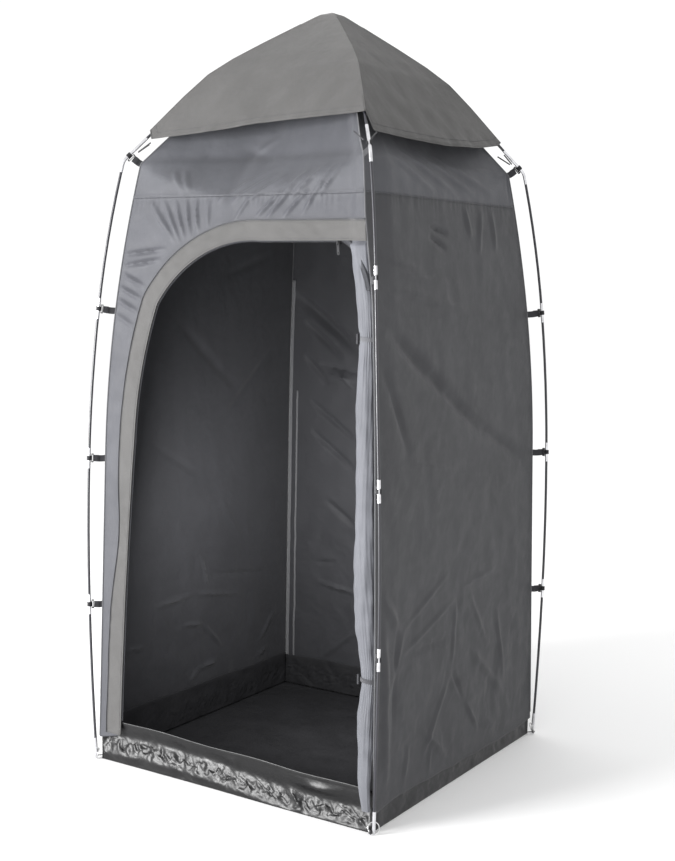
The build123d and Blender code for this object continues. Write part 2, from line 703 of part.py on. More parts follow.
for name, height in TIE_HEIGHTS.items():
    half_width, half_depth, setback = [row[1:] for row in ROLL_SECTIONS if row[0] == height][0]
    centre = roll_centre(height, half_width, setback)
    across, deep = half_width + TIE_GAP + TIE_THICK, half_depth + TIE_GAP + TIE_THICK
    with BuildPart() as door_tie:
        with BuildSketch(Plane(origin=centre - Vector(0, 0, TIE_WIDTH / 2), z_dir=(0, 0, 1))):
            Ellipse(across, deep)
            Ellipse(across - TIE_THICK, deep - TIE_THICK, mode=Mode.SUBTRACT)
        extrude(amount=TIE_WIDTH)
    save(door_tie, f"{name}_door_tie")

    turn = radians(TOGGLE_ANGLE)
    on_tie = centre + Vector(across * cos(turn), deep * sin(turn), 0)
    away = Vector(cos(turn) / across, sin(turn) / deep, 0).normalized()
    toggle_centre = on_tie + away * (TOGGLE_GAP + TOGGLE_STEM_LENGTH)
    with BuildPart() as toggle:
        with BuildSketch(Plane(origin=on_tie + away * TOGGLE_GAP, z_dir=away)):
            Circle(TOGGLE_STEM)
        extrude(amount=TOGGLE_STEM_LENGTH)
        foot = toggle_centre - Vector(0, 0, TOGGLE_LENGTH / 2)
        with BuildSketch(Plane(origin=foot, z_dir=(0, 0, 1))):
            Circle(TOGGLE_RADIUS)
        extrude(amount=TOGGLE_LENGTH)
        fillet(toggle.faces().filter_by(Axis.Z).edges(), TOGGLE_ROUND)
    save(toggle, f"{name}_tie_toggle")


# ---------------------------------------------------------------- straps and clips
def strap_places(corner):
    """Pole point, pole direction and wall-corner point of each of a corner's four straps."""
    places = []
    for arc in ARCS[corner][:-1]:
        point = arc @ 1
        reach = (leg_half_side(point.Z) - wall_half_side(point.Z)) * ROOT_2
        slope = (wall_half_side(point.Z - 1.0) - wall_half_side(point.Z)) * ROOT_2
        foot = point.Z - slope * reach
        wall = outward(corner) * (wall_half_side(foot) * ROOT_2) + Vector(0, 0, foot)
        places.append((point, arc % 1, wall))
    place = LAYOUT[corner]
    up = (place["kink"] - place["bend"]).normalized()
    wall = outward(corner) * (WALL_TOP[0] * ROOT_2) + Vector(0, 0, WALL_TOP[1])
    places.append((place["bend"] + up * SHOULDER_STRAP_ABOVE_BEND, up, wall))
    return places


for corner in CORNERS:
    with BuildPart() as straps:
        for point, along, wall in strap_places(corner):
            run = wall - point
            slant = abs(along.dot(run.normalized()))
            across = (along - run.normalized() * along.dot(run.normalized())).normalized()
            start = CLIP_BAR_END + STRAP_GAP + slant * STRAP_WIDTH / 2
            with BuildSketch(Plane(origin=point - across * (STRAP_WIDTH / 2), x_dir=run, z_dir=across)):
                with Locations((start, 0)):
                    Rectangle(run.length - start - STRAP_GAP, STRAP_THICK, align=(Align.MIN, Align.CENTER))
            extrude(amount=STRAP_WIDTH)
    save(straps, f"webbing_straps_{corner}")

    with BuildPart() as clips:
        for point, along, wall in strap_places(corner):
            run = wall - point
            inward = (run - along * run.dot(along)).normalized()
            clip_plane = Plane(origin=point, x_dir=inward, z_dir=along)
            with BuildSketch(clip_plane.offset(-CLIP_WIDTH / 2)):
                Circle(CLIP_RADIUS)
                Circle(CLIP_BORE, mode=Mode.SUBTRACT)
                with Locations((-CLIP_RADIUS, 0)):
                    Rectangle(CLIP_RADIUS, CLIP_MOUTH, mode=Mode.SUBTRACT)
            extrude(amount=CLIP_WIDTH)
            with BuildSketch(clip_plane.offset(-CLIP_BAR_LENGTH / 2)):
                with Locations((CLIP_BAR_START, 0)):
                    bar = CLIP_BAR_END - CLIP_BAR_START
                    Rectangle(bar, CLIP_BAR_THICK, align=(Align.MIN, Align.CENTER))
            extrude(amount=CLIP_BAR_LENGTH)
            with BuildSketch(clip_plane.offset(-CLIP_SLOT[0] / 2)):
                with Locations((CLIP_BAR_END - CLIP_SLOT_EDGE, 0)):
                    Rectangle(CLIP_SLOT[1], 2 * CLIP_RADIUS, align=(Align.MAX, Align.CENTER))
            extrude(amount=CLIP_SLOT[0], mode=Mode.SUBTRACT)
    save(clips, f"pole_clips_{corner}")

# ---------------------------------------------------------------- roof fly
with BuildPart() as fly_hollow:
    leaning_form(offset_outline(FLY_INSIDE, FLY_EDGE, FLY_PEAK_HALF))

with BuildPart() as roof_fly:
    leaning_form(offset_outline(FLY_OUTSIDE, FLY_EDGE, FLY_PEAK_HALF))
    add(fly_hollow.part, mode=Mode.SUBTRACT)
    with BuildSketch(Plane.XY.offset(FLY_EDGE)):
        Rectangle(FLY_CORNER_CUT * ROOT_2, FLY_CORNER_CUT * ROOT_2, rotation=45)
    extrude(amount=REACH, mode=Mode.INTERSECT)
save(roof_fly, "roof_fly")

with BuildPart() as fly_elastics:
    edge_half = offset_outline((FLY_OUTSIDE + FLY_INSIDE) / 2, FLY_EDGE, FLY_PEAK_HALF)[0][0]
    half_cut = (2 * edge_half - FLY_CORNER_CUT) / ROOT_2
    tip_height = FLY_EDGE - ELASTIC_UNDER_FLY
    for corner in CORNERS:
        point, along, wall = strap_places(corner)[-1]
        run = (wall - point).normalized()
        across = (along - run * along.dot(run)).normalized()
        hook = point + across * ELASTIC_OVER_STRAP - outward(corner) * ELASTIC_FROM_POLE
        cut = outward(corner) * (FLY_CORNER_CUT / ROOT_2 - ELASTIC_RADIUS)
        middle = cut + sideways(corner) * roof_lean(corner, tip_height) + Vector(0, 0, tip_height)
        for side in (-1, 1):
            low = hook + sideways(corner) * (side * ELASTIC_SIDE)
            tube(straight(low, middle + sideways(corner) * (side * half_cut)), ELASTIC_RADIUS)
save(fly_elastics, "fly_elastics")
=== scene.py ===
"""Looks of the privacy shower tent: its cloth, webbing, zip, rolled door and finishes, around the CAD frame.

Everything is in metres in the frame of the CAD model: the ground is z = 0, the door faces -Y and the
pole feet stand at the corners of a square. A wall is laid out flat, with `a` across it as seen from
outside and `z` up it, and wall_point bends that layout onto the tent.
"""

import math

import bpy
import numpy as np
from mathutils import Matrix, Vector


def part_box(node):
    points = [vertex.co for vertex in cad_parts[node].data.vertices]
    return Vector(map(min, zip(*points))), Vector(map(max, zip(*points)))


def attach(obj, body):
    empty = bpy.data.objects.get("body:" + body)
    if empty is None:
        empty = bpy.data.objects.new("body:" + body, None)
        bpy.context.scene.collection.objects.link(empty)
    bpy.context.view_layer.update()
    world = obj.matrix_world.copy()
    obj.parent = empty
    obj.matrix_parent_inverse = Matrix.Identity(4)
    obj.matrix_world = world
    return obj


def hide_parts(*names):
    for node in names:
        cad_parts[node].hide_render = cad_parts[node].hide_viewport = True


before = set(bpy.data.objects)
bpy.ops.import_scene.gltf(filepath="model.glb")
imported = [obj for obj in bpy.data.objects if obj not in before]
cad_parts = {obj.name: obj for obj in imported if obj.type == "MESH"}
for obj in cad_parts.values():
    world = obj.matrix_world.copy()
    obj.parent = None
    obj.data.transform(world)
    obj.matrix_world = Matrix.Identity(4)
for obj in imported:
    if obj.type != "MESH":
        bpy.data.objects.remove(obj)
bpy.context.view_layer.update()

# ---------------------------------------------------------------- places, as in the CAD model
FACES = {"front": 0, "right": 1, "back": 2, "left": 3}
# Each corner's face, and the side of that face it is on
CORNERS = {
    "front_left": ("front", -1),
    "front_right": ("front", 1),
    "back_right": ("right", 1),
    "back_left": ("back", 1),
}

WALL_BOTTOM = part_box("front_wall")[0].z
WALL_HALF = 0.477
WALL_MIDDLE = 0.950
WALL_SLOPE = -0.017045
WALL_TOP = (0.402, 1.805)
WALL_RISE = WALL_TOP[1] - WALL_MIDDLE
WALL_CURVE = (WALL_TOP[0] - WALL_HALF - WALL_SLOPE * WALL_RISE) / WALL_RISE**2
ROOF_LINE = [WALL_TOP, (0.22585, 2.0445), (0.0119, 2.2104), (0.0, 2.2184)]
SEAM = 1.706

# How far the front right corner stands beside its diagonal, at heights up it
CORNER_LEAN = [(0.50, 0.0), (0.90, 0.005), (1.42, 0.012), (1.65, 0.027), (1.84, 0.027), (2.08, 0.0)]
LEAN_FROM = 0.78

# The shoulder crease of each wall: where it dips, how far below the corners, and how deep it folds in
SHOULDER = 1.800
CREASE = {
    "front": (-0.16, 0.100, 0.78),
    "right": (0.10, 0.085, 0.36),
    "back": (0.12, 0.080, 0.50),
    "left": (-0.10, 0.085, 0.50),
}
CREASE_BEND = 0.0045

TUB_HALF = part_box("groundsheet")[1].x
TUB_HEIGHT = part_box("groundsheet")[1].z

# The doorway, as a and z on the front wall: three arcs, a straight top and a rounded corner
DOOR_ARCS = [
    ((-0.408, 0.060), (-0.391, 0.560), (-0.363, 1.000)),
    ((-0.363, 1.000), (-0.339, 1.219), (-0.295, 1.398)),
    ((-0.295, 1.398), (-0.165, 1.527), (0.060, 1.580)),
]
DOOR_TOP_RIGHT = (0.330, 1.580)
DOOR_CORNER = (0.395, 1.530)
DOOR_RIGHT_TOP = 1.440
DOOR_RIGHT_MARGIN = 0.014
FACING_WIDTH = 0.057
# Low on the left it is narrower: at a height, over a spread, by how much
FACING_NARROW = (0.70, 0.15, 0.020)
FACING_FOOT = 0.088
FACING_END = [(0.350, 1.580), (0.390, 1.579), (0.4325, 1.578)]

# Rolled door: height, half width, half depth and setback of its bundle
ROLL_SECTIONS = [
    (0.062, 0.007, 0.006, -0.0035),
    (0.135, 0.012, 0.0085, -0.0065),
    (0.215, 0.016, 0.014, 0.005),
    (0.300, 0.020, 0.019, 0.014),
    (0.415, 0.015, 0.014, 0.016),
    (0.560, 0.025, 0.022, 0.016),
    (0.950, 0.026, 0.023, 0.016),
    (1.200, 0.026, 0.022, 0.018),
    (1.322, 0.021, 0.016, 0.019),
    (1.430, 0.026, 0.016, 0.021),
    (1.562, 0.032, 0.013, 0.020),
    (1.588, 0.034, 0.012, 0.020),
]
ROLL_GAP = 0.003
TIE_HEIGHTS = {"lower": 0.415, "upper": 1.322}


# ---------------------------------------------------------------- numbers in the cloth
RIPPLE_WAVES = 18
CRUMPLE_CREASES = 9


def smooth(x):
    """0 below 0, 1 above 1, and a soft step between."""
    x = np.clip(x, 0.0, 1.0)
    return x * x * (3 - 2 * x)


def bell(x, centre, width):
    """A smooth bump of height 1."""
    return np.exp(-(((x - centre) / width) ** 2))


def follow(x, points):
    """Straight-line value between (x, value) points."""
    return np.interp(x, [p[0] for p in points], [p[1] for p in points])


def ripple(p, q, size, seed, stretch=1.0):
    """Soft random waves about 1 high and size long; a stretch over 1 draws them out along q."""
    rng = np.random.default_rng(seed)
    total = np.zeros(np.broadcast(p, q).shape)
    for _ in range(RIPPLE_WAVES):
        angle, phase, pace = rng.uniform(0, math.pi), rng.uniform(0, 6.28), rng.uniform(0.6, 1.7)
        total += np.sin((p * math.cos(angle) + q * math.sin(angle) / stretch) * 6.28 * pace / size + phase)
    return total * 1.4 / math.sqrt(RIPPLE_WAVES)


def crumple(p, q, size, seed):
    """Flat facets that meet at sharp creases, as in cloth that was packed small; about 1 high."""
    rng = np.random.default_rng(seed)
    bent = [0.22 * size * ripple(p, q, 2.2 * size, seed + more) for more in (1, 2)]
    p, q = p + bent[0], q + bent[1]
    total = np.zeros(np.broadcast(p, q).shape)
    for _ in range(CRUMPLE_CREASES):
        angle, phase, pace = rng.uniform(0, math.pi), rng.uniform(0, 1), rng.uniform(0.45, 1.5)
        wave = (p * math.cos(angle) + q * math.sin(angle)) * pace / size + phase
        total += (np.abs(wave - np.round(wave)) * 4 - 1) / pace
    return total / math.sqrt(CRUMPLE_CREASES)


def strokes(a, z, lines, sharp=False):
    """Soft ridges, or sharp creases, along lines in mm (a0, z0, a1, z1, half width, height)."""
    lift = np.zeros(np.broadcast(a, z).shape)
    for line in lines:
        a0, z0, a1, z1, width, height = (value / 1000 for value in line)
        run, rise = a1 - a0, z1 - z0
        length = math.hypot(run, rise)
        along = ((a - a0) * run + (z - z0) * rise) / length**2
        aside = ((z - z0) * run - (a - a0) * rise) / length
        taper = np.clip(1 - (2 * along - 1) ** 2, 0, 1)
        shape = np.clip(1 - np.abs(aside) / (1.6 * width), 0, 1) if sharp else np.exp(-((aside / width) ** 2))
        lift += height * taper * shape
    return lift


# ---------------------------------------------------------------- the shape of the inner tent
def wall_half(z):
    """Half side of the inner tent at a height, up to its peak."""
    z = np.asarray(z, float)
    rise = z - WALL_MIDDLE
    wall = WALL_HALF + WALL_SLOPE * rise + WALL_CURVE * np.maximum(rise, 0) ** 2
    roof = follow(z, [(height, half) for half, height in ROOF_LINE])
    return np.where(z > WALL_TOP[1], roof, wall)


def soft_ramp(x, bend):
    """0 below 0 and x above it, with a rounded start."""
    return bend * np.logaddexp(0.0, x / bend)


def shoulder_fold(face, u, z):
    """How far a wall folds in above its shoulder crease."""
    dip_at, dip, slope = CREASE[face]
    aside = np.where(u < dip_at, (u - dip_at) / (-1 - dip_at), (u - dip_at) / (1 - dip_at))
    crease = SHOULDER - dip * (1 - np.abs(aside) ** 1.25)
    fold = soft_ramp(z - crease, CREASE_BEND) - soft_ramp(z - SHOULDER - 0.02, CREASE_BEND)
    fade = np.clip((ROOF_LINE[-1][1] - z) / (ROOF_LINE[-1][1] - WALL_TOP[1]), 0, 1)
    return slope * fold * fade * (1 - np.abs(u) ** 6)


def leaned(face, across, away, z, u, start, lean):
    """Points of a face in space; past the share start, they follow the front right corner's lean."""
    side = {"front": 1, "right": -1}.get(face, 0)
    shift = abs(side) * lean * math.sqrt(0.5) * smooth((side * u - start) / (1 - start))
    return turned(across - shift, -(away + side * shift), z, face)


def wall_point(face, a, z, out=0.0):
    """The place on the tent of a point of a wall's layout, lifted off the wall by out."""
    a, z = np.broadcast_arrays(np.asarray(a, float), np.asarray(z, float))
    half = wall_half(z)
    u = np.clip(a / np.maximum(half, 1e-6), -1.2, 1.2)
    away = half + out - shoulder_fold(face, u, z)
    return leaned(face, a, away, z, u, LEAN_FROM, follow(z, CORNER_LEAN))


def turned(x, y, z, face):
    """Points of the front face's layout turned about Z onto another face."""
    for _ in range(FACES[face]):
        x, y = -y, x
    return np.stack(np.broadcast_arrays(x, y, z), axis=-1)


def corner_point(corner, z):
    """A point of the line where two walls meet."""
    face, side = CORNERS[corner]
    return wall_point(face, side * wall_half(z), z)


def door_right(z):
    """Where the doorway's right edge stands at a height."""
    return wall_half(z) - DOOR_RIGHT_MARGIN


# ---------------------------------------------------------------- lines
def arc_through(first, middle, last, count):
    """Points of the circle arc through three points of a plane."""
    (x1, y1), (x2, y2), (x3, y3) = first, middle, last
    d = 2 * (x1 * (y2 - y3) + x2 * (y3 - y1) + x3 * (y1 - y2))
    s1, s2, s3 = x1**2 + y1**2, x2**2 + y2**2, x3**2 + y3**2
    cx = (s1 * (y2 - y3) + s2 * (y3 - y1) + s3 * (y1 - y2)) / d
    cy = (s1 * (x3 - x2) + s2 * (x1 - x3) + s3 * (x2 - x1)) / d
    start, end = math.atan2(y1 - cy, x1 - cx), math.atan2(y3 - cy, x3 - cx)
    turn = (end - start + math.pi) % (2 * math.pi) - math.pi
    angles = start + np.linspace(0, 1, count) * turn
    radius = math.hypot(x1 - cx, y1 - cy)
    return np.stack([cx + radius * np.cos(angles), cy + radius * np.sin(angles)], axis=1)


def evenly(points, step):
    """A line's points, spaced evenly along it."""
    points = np.asarray(points, float)
    runs = np.linalg.norm(np.diff(points, axis=0), axis=1)
    along = np.concatenate([[0], np.cumsum(runs)])
    keep = np.concatenate([[True], runs > 1e-9])
    count = max(2, int(round(along[-1] / step)) + 1)
    marks = np.linspace(0, along[-1], count)
    return np.stack([np.interp(marks, along[keep], points[keep, i]) for i in range(points.shape[1])], axis=1)


def doorway_line(step, whole=True):
    """The doorway's edge from its left foot round the arch; whole takes it down the right side too."""
    parts = [arc_through(*arc, 60) for arc in DOOR_ARCS]
    parts.append(np.array([DOOR_TOP_RIGHT]))
    right_top = (float(door_right(DOOR_RIGHT_TOP)), DOOR_RIGHT_TOP)
    parts.append(arc_through(DOOR_TOP_RIGHT, DOOR_CORNER, right_top, 30))
    if whole:
        heights = np.linspace(DOOR_RIGHT_TOP, DOOR_ARCS[0][0][1], 80)
        parts.append(np.stack([door_right(heights), heights], axis=1))
    return evenly(np.concatenate(parts), step)


def unit(vectors):
    """Rows of vectors, each made 1 long."""
    return vectors / np.linalg.norm(vectors, axis=1)[:, None]


def normals_of(line):
    """Unit normals of a plane line, to the left of its direction."""
    direction = unit(np.gradient(line, axis=0))
    return np.stack([-direction[:, 1], direction[:, 0]], axis=1)


# ---------------------------------------------------------------- making pieces
SHARP_EDGE = math.radians(50.0)


def make_piece(name, points, faces, body, slot, material, nodes=(), thick=0.0):
    """A mesh piece that rides on a body and stands for CAD nodes."""
    mesh = bpy.data.meshes.new(name)
    mesh.from_pydata(np.asarray(points, float).reshape(-1, 3).tolist(), [], [tuple(f) for f in faces])
    mesh.update()
    piece = bpy.data.objects.new(name, mesh)
    bpy.context.scene.collection.objects.link(piece)
    mesh.materials.append(material)
    mesh.shade_smooth()
    if thick:
        shell = piece.modifiers.new("thickness", "SOLIDIFY")
        shell.thickness = thick
        shell.offset = 0.0
    mesh.set_sharp_from_angle(angle=SHARP_EDGE)
    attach(piece, body)
    if nodes:
        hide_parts(*nodes)
    return piece


def shares(rows, columns):
    """Two grids of a layout: from -1 to 1 across it, and from 0 to 1 up it."""
    return (
        np.linspace(-1, 1, columns)[None] * np.ones((rows, 1)),
        np.linspace(0, 1, rows)[:, None] * np.ones((1, columns)),
    )


def grid_faces(rows, columns, closed=False):
    """Quads of a grid of points given row by row; closed joins each row's end to its start."""
    faces = []
    for low in range(0, (rows - 1) * columns, columns):
        high = low + columns
        for c in range(columns if closed else columns - 1):
            d = (c + 1) % columns
            faces.append((low + c, low + d, high + d, high + c))
    return faces


def tube_faces(rows, sides):
    """Faces of a tube of rings of points, with its two ends."""
    ends = [tuple(range(sides - 1, -1, -1)), tuple(range((rows - 1) * sides, rows * sides))]
    return grid_faces(rows, sides, closed=True) + ends


def join(parts):
    """One list of points and faces from several."""
    points, faces, start = [], [], 0
    for part_points, part_faces in parts:
        part_points = np.asarray(part_points, float).reshape(-1, 3)
        points.append(part_points)
        faces += [tuple(start + i for i in face) for face in part_faces]
        start += len(part_points)
    return np.concatenate(points), faces


def welded(points, faces, near=1e-5):
    """The same mesh with points that coincide made one."""
    keys = {}
    index = np.zeros(len(points), int)
    kept = []
    for i, point in enumerate(points):
        key = tuple(np.round(point / near).astype(int))
        if key not in keys:
            keys[key] = len(kept)
            kept.append(point)
        index[i] = keys[key]
    clean = []
    for face in faces:
        corners = []
        for i in face:
            if index[i] not in corners:
                corners.append(index[i])
        if len(corners) > 2:
            clean.append(tuple(corners))
    return np.array(kept), clean


def tube_along(line, radius, sides):
    """A tube along a line in space, with closed ends."""
    direction = unit(np.gradient(np.asarray(line, float), axis=0))
    up = np.array([0.0, 0.0, 1.0]) if abs(direction[0, 2]) < 0.9 else np.array([0.0, -1.0, 0.0])
    angles = np.linspace(0, 2 * math.pi, sides, endpoint=False)
    profile = np.stack([np.cos(angles), np.sin(angles)], axis=1) * radius
    rings = []
    for point, ahead in zip(line, direction):
        side = np.cross(ahead, up)
        side /= np.linalg.norm(side)
        up = np.cross(side, ahead)
        rings.append(point + profile[:, :1] * side + profile[:, 1:] * up)
    return np.concatenate(rings), tube_faces(len(rings), sides)


# ---------------------------------------------------------------- materials
class Nodes:
    """A short way to write a material's nodes."""

    def __init__(self, name):
        self.material = bpy.data.materials.new(name)
        self.material.use_nodes = True
        self.tree = self.material.node_tree
        self.shader = self.tree.nodes["Principled BSDF"]
        self.place = self.add("ShaderNodeTexCoord").outputs["Object"]

    def add(self, kind, sockets=None, **values):
        node = self.tree.nodes.new(kind)
        for name, value in values.items():
            setattr(node, name, value)
        for name, value in (sockets or {}).items():
            if isinstance(value, bpy.types.NodeSocket):
                self.tree.links.new(value, node.inputs[name])
            else:
                node.inputs[name].default_value = value
        return node

    def noise(self, size, detail=3.0, stretch=(1, 1, 1)):
        spread = self.add("ShaderNodeMapping", {"Vector": self.place, "Scale": stretch})
        sockets = {"Vector": spread.outputs["Vector"], "Scale": 1.0 / size, "Detail": detail}
        return self.add("ShaderNodeTexNoise", sockets).outputs["Fac"]

    def waves(self, pitch, direction, turn=(0, 0, 0), distortion=0.0):
        spread = self.add("ShaderNodeMapping", {"Vector": self.place, "Rotation": turn})
        sockets = {"Vector": spread.outputs["Vector"], "Scale": 0.314 / pitch, "Distortion": distortion}
        node = self.add("ShaderNodeTexWave", sockets, wave_type="BANDS", bands_direction=direction)
        return node.outputs["Fac"]

    def math(self, operation, first, second):
        return self.add("ShaderNodeMath", {0: first, 1: second}, operation=operation).outputs[0]

    def ramp(self, value, target, *stops):
        """Drive a shader input from a value, by stops of (at, number or colour)."""
        node = self.add("ShaderNodeValToRGB", {"Fac": value})
        node.color_ramp.elements.remove(node.color_ramp.elements[1])
        for i, (at, colour) in enumerate(stops):
            stop = node.color_ramp.elements[0] if i == 0 else node.color_ramp.elements.new(at)
            stop.position = at
            stop.color = ((colour,) * 3 if isinstance(colour, float) else colour) + (1.0,)
        self.tree.links.new(node.outputs["Color"], self.shader.inputs[target])

    def tint(self, value, colour, *stops):
        """Drive the base colour from a value, by stops of (at, how bright a shade of the colour)."""
        self.ramp(value, "Base Color", *[(at, tuple(c * much for c in colour)) for at, much in stops])

    def bump(self, height, distance, **under):
        sockets = {"Strength": 1.0, "Distance": distance, "Height": height, **under}
        return self.add("ShaderNodeBump", sockets).outputs["Normal"]

    def finish(self, normal=None, **values):
        """The material, with its normal linked and the shader's other values set."""
        if normal is not None:
            self.tree.links.new(normal, self.shader.inputs["Normal"])
        for name, value in values.items():
            self.shader.inputs[name.replace("_", " ")].default_value = value
        return self.material


WEAVE_PITCH = 0.0009
WEAVE_DEPTH = 0.00012
# The front sill's inner side, from where the groundsheet's inside is painted lighter: painted light for the
# dim inside of the tent
SILL_INSIDE = -0.46


def cloth(name, colour, roughness=0.55, sheen=0.10, specular=0.25):
    """Woven polyester: a fine weave, faint uneven dye and dust, and a soft sheen."""
    m = Nodes(name)
    patchy = m.math("ADD", m.noise(0.19, 4.0), m.math("MULTIPLY", m.noise(0.004, 2.0), 0.22))
    m.tint(patchy, colour, (0.30, 0.86), (0.62, 1.0), (0.95, 1.12))
    m.ramp(m.noise(0.035), "Roughness", (0.3, roughness - 0.05), (0.7, roughness + 0.07))
    warp = m.waves(WEAVE_PITCH, "X", turn=(0, 0, math.radians(45)))
    threads = m.math("MAXIMUM", warp, m.waves(WEAVE_PITCH, "Z"))
    normal = m.bump(threads, WEAVE_DEPTH, Normal=m.bump(m.noise(0.022, 4.0), 0.0011))
    return m.finish(normal, Sheen_Weight=sheen, Sheen_Roughness=0.4, Specular_IOR_Level=specular)


def coated_sheet(name, outside, inside):
    """Woven polythene with a shiny coat that crinkles; painted lighter behind the front sill, as painted
    light for the tent's dim inside.
    """
    m = Nodes(name)
    place = m.add("ShaderNodeSeparateXYZ", {0: m.place}).outputs
    # Behind the sill the colour ramp moves to the lighter inside colour: painted light for the dim inside
    behind = m.math("MULTIPLY", m.math("GREATER_THAN", place["Y"], SILL_INSIDE), 0.5)
    shade = m.math("ADD", m.math("MULTIPLY", m.noise(0.12, 5.0), 0.4), behind)
    stops = [(0.12, outside, 0.80), (0.36, outside, 1.18), (0.62, inside, 0.80), (0.86, inside, 1.18)]
    m.ramp(shade, "Base Color", *[(at, tuple(c * much for c in colour)) for at, colour, much in stops])
    m.ramp(m.noise(0.03), "Roughness", (0.3, 0.34), (0.75, 0.46))
    tapes = m.math("MAXIMUM", m.waves(0.0022, "X"), m.waves(0.0022, "Y"))
    normal = m.bump(tapes, 0.00008, Normal=m.bump(m.noise(0.012, 5.0), 0.0009))
    return m.finish(normal, Specular_IOR_Level=0.3, Coat_Weight=0.06, Coat_Roughness=0.3)


def webbing(name, colour, pitch=0.0016):
    """Ribbed woven tape."""
    m = Nodes(name)
    ribs = m.waves(pitch, "Z", distortion=0.6)
    m.tint(m.math("ADD", ribs, m.noise(0.003)), colour, (0.4, 0.7), (1.3, 1.3))
    looks = {"Roughness": 0.72, "Sheen_Weight": 0.3, "Sheen_Roughness": 0.5, "Specular_IOR_Level": 0.3}
    return m.finish(m.bump(ribs, 0.0003), **looks)


def metal(name, colour, roughness=0.24, along=(1, 1, 0.02)):
    """Drawn steel with fine lines along it and a few dull spots."""
    m = Nodes(name)
    m.tint(m.noise(0.02, 4.0), colour, (0.3, 0.82), (0.6, 1.05))
    lines = m.noise(0.0006, 2.0, stretch=along)
    m.ramp(lines, "Roughness", (0.3, roughness - 0.07), (0.8, roughness + 0.14))
    return m.finish(m.bump(lines, 0.00003), Metallic=1.0)


def gloss_rod(name, colour):
    """Glass-fibre rod: smooth dark resin with faint fibres and scuffs along it."""
    m = Nodes(name)
    fibres = m.noise(0.0012, stretch=(1, 1, 0.03))
    m.tint(fibres, colour, (0.3, 0.75), (0.75, 1.5))
    m.ramp(m.noise(0.018, 4.0), "Roughness", (0.35, 0.28), (0.75, 0.44))
    return m.finish(m.bump(fibres, 0.00005), Specular_IOR_Level=0.5, Coat_Weight=0.3, Coat_Roughness=0.3)


def moulded(name, colour, roughness):
    """Moulded plastic with a fine grain and rubbed patches."""
    m = Nodes(name)
    m.tint(m.noise(0.006, 4.0), colour, (0.3, 0.8), (0.75, 1.25))
    m.ramp(m.noise(0.004), "Roughness", (0.3, roughness - 0.1), (0.75, roughness + 0.1))
    return m.finish(m.bump(m.noise(0.0007, 2.0), 0.00006), Specular_IOR_Level=0.3)


def braided(name, colour, pitch=0.0018):
    """Braided cord or twisted thread, with crossing strands."""
    m = Nodes(name)
    strands = m.math("MAXIMUM", *[m.waves(pitch, "Z", turn=(0.7 * way, 0.3 * way, 0)) for way in (1, -1)])
    m.tint(strands, colour, (0.35, 0.55), (0.95, 1.4))
    return m.finish(m.bump(strands, 0.0003), Roughness=0.7, Sheen_Weight=0.2, Specular_IOR_Level=0.3)


wall_cloth = cloth("wall_polyester", (0.055, 0.0562, 0.0640))
# A darker copy of the wall cloth for the right, back and left walls: painted shade, as these walls get less
# light than the front
side_cloth_painted_shade = cloth("side_wall_polyester", (0.0405, 0.0410, 0.0450))
# A lighter copy of the wall cloth for the upper body and inner roof: painted light, which lifts the part
# above the seam out of the fly's shadow
roof_cloth_painted_light = cloth("inner_roof_polyester_painted_light", (0.064, 0.0655, 0.0735))
door_cloth = cloth("door_polyester", (0.103, 0.106, 0.119), sheen=0.15)
fly_cloth = cloth("fly_polyester", (0.073, 0.0715, 0.0705), roughness=0.7, sheen=0.15, specular=0.2)
facing_cloth = cloth("facing_polyester", (0.074, 0.0725, 0.0715), roughness=0.68, sheen=0.15, specular=0.2)
piping_cloth = webbing("piping_tape", (0.022, 0.023, 0.028), pitch=0.0011)
binding_cloth = webbing("corner_binding", (0.085, 0.086, 0.092), pitch=0.0011)
corner_tape = webbing("corner_tape", (0.120, 0.121, 0.127), pitch=0.0011)
upper_tie_tape = webbing("upper_tie_tape", (0.090, 0.091, 0.100), pitch=0.001)
stitch_thread = braided("sewing_thread", (0.045, 0.046, 0.052), pitch=0.0008)
# The second colour, much lighter, is the inside: painted light that stands in for the light inside the tent
tub_sheet = coated_sheet("groundsheet_polythene", (0.0050, 0.0050, 0.0055), (0.028, 0.028, 0.030))
strap_tape = webbing("strap_webbing", (0.016, 0.016, 0.019))
tie_tape = webbing("tie_tape", (0.040, 0.040, 0.046), pitch=0.001)
rod_resin = gloss_rod("glass_fibre", (0.014, 0.014, 0.019))
bright_steel = metal("bright_steel", (0.72, 0.72, 0.74))
tip_steel = metal("tip_steel", (0.62, 0.62, 0.64), roughness=0.3)
ring_steel = metal("ring_steel", (0.66, 0.66, 0.66), roughness=0.2, along=(0.3, 0.3, 0.3))
clip_plastic = moulded("clip_plastic", (0.012, 0.012, 0.014), roughness=0.68)
toggle_plastic = moulded("toggle_plastic", (0.030, 0.030, 0.034), roughness=0.66)
zip_coil = moulded("zip_coil_plastic", (0.045, 0.045, 0.050), roughness=0.35)
elastic_cord = braided("elastic_cord", (0.020, 0.020, 0.023))

# The CAD nodes that show as they are, by the start of their names
NODE_MATERIALS = [
    (rod_resin, ("leg_rods_", "roof_rods_")),
    (bright_steel, ("ferrules_", "shoulder_elbow_", "roof_bend_tube_", "apex_elbow_")),
    (tip_steel, ("pole_tips", "foot_pins")),
    (ring_steel, ("corner_ring_",)),
    (elastic_cord, ("shock_cord_", "fly_elastics")),
    (clip_plastic, ("pole_clips_", "zip_slider", "zip_pull")),
    (strap_tape, ("ring_tabs", "apex_tie")),
    (toggle_plastic, ("upper_tie_toggle", "lower_tie_toggle")),
]
for node_name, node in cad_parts.items():
    for material, starts in NODE_MATERIALS:
        if node_name.startswith(starts):
            node.data.materials.clear()
            node.data.materials.append(material)

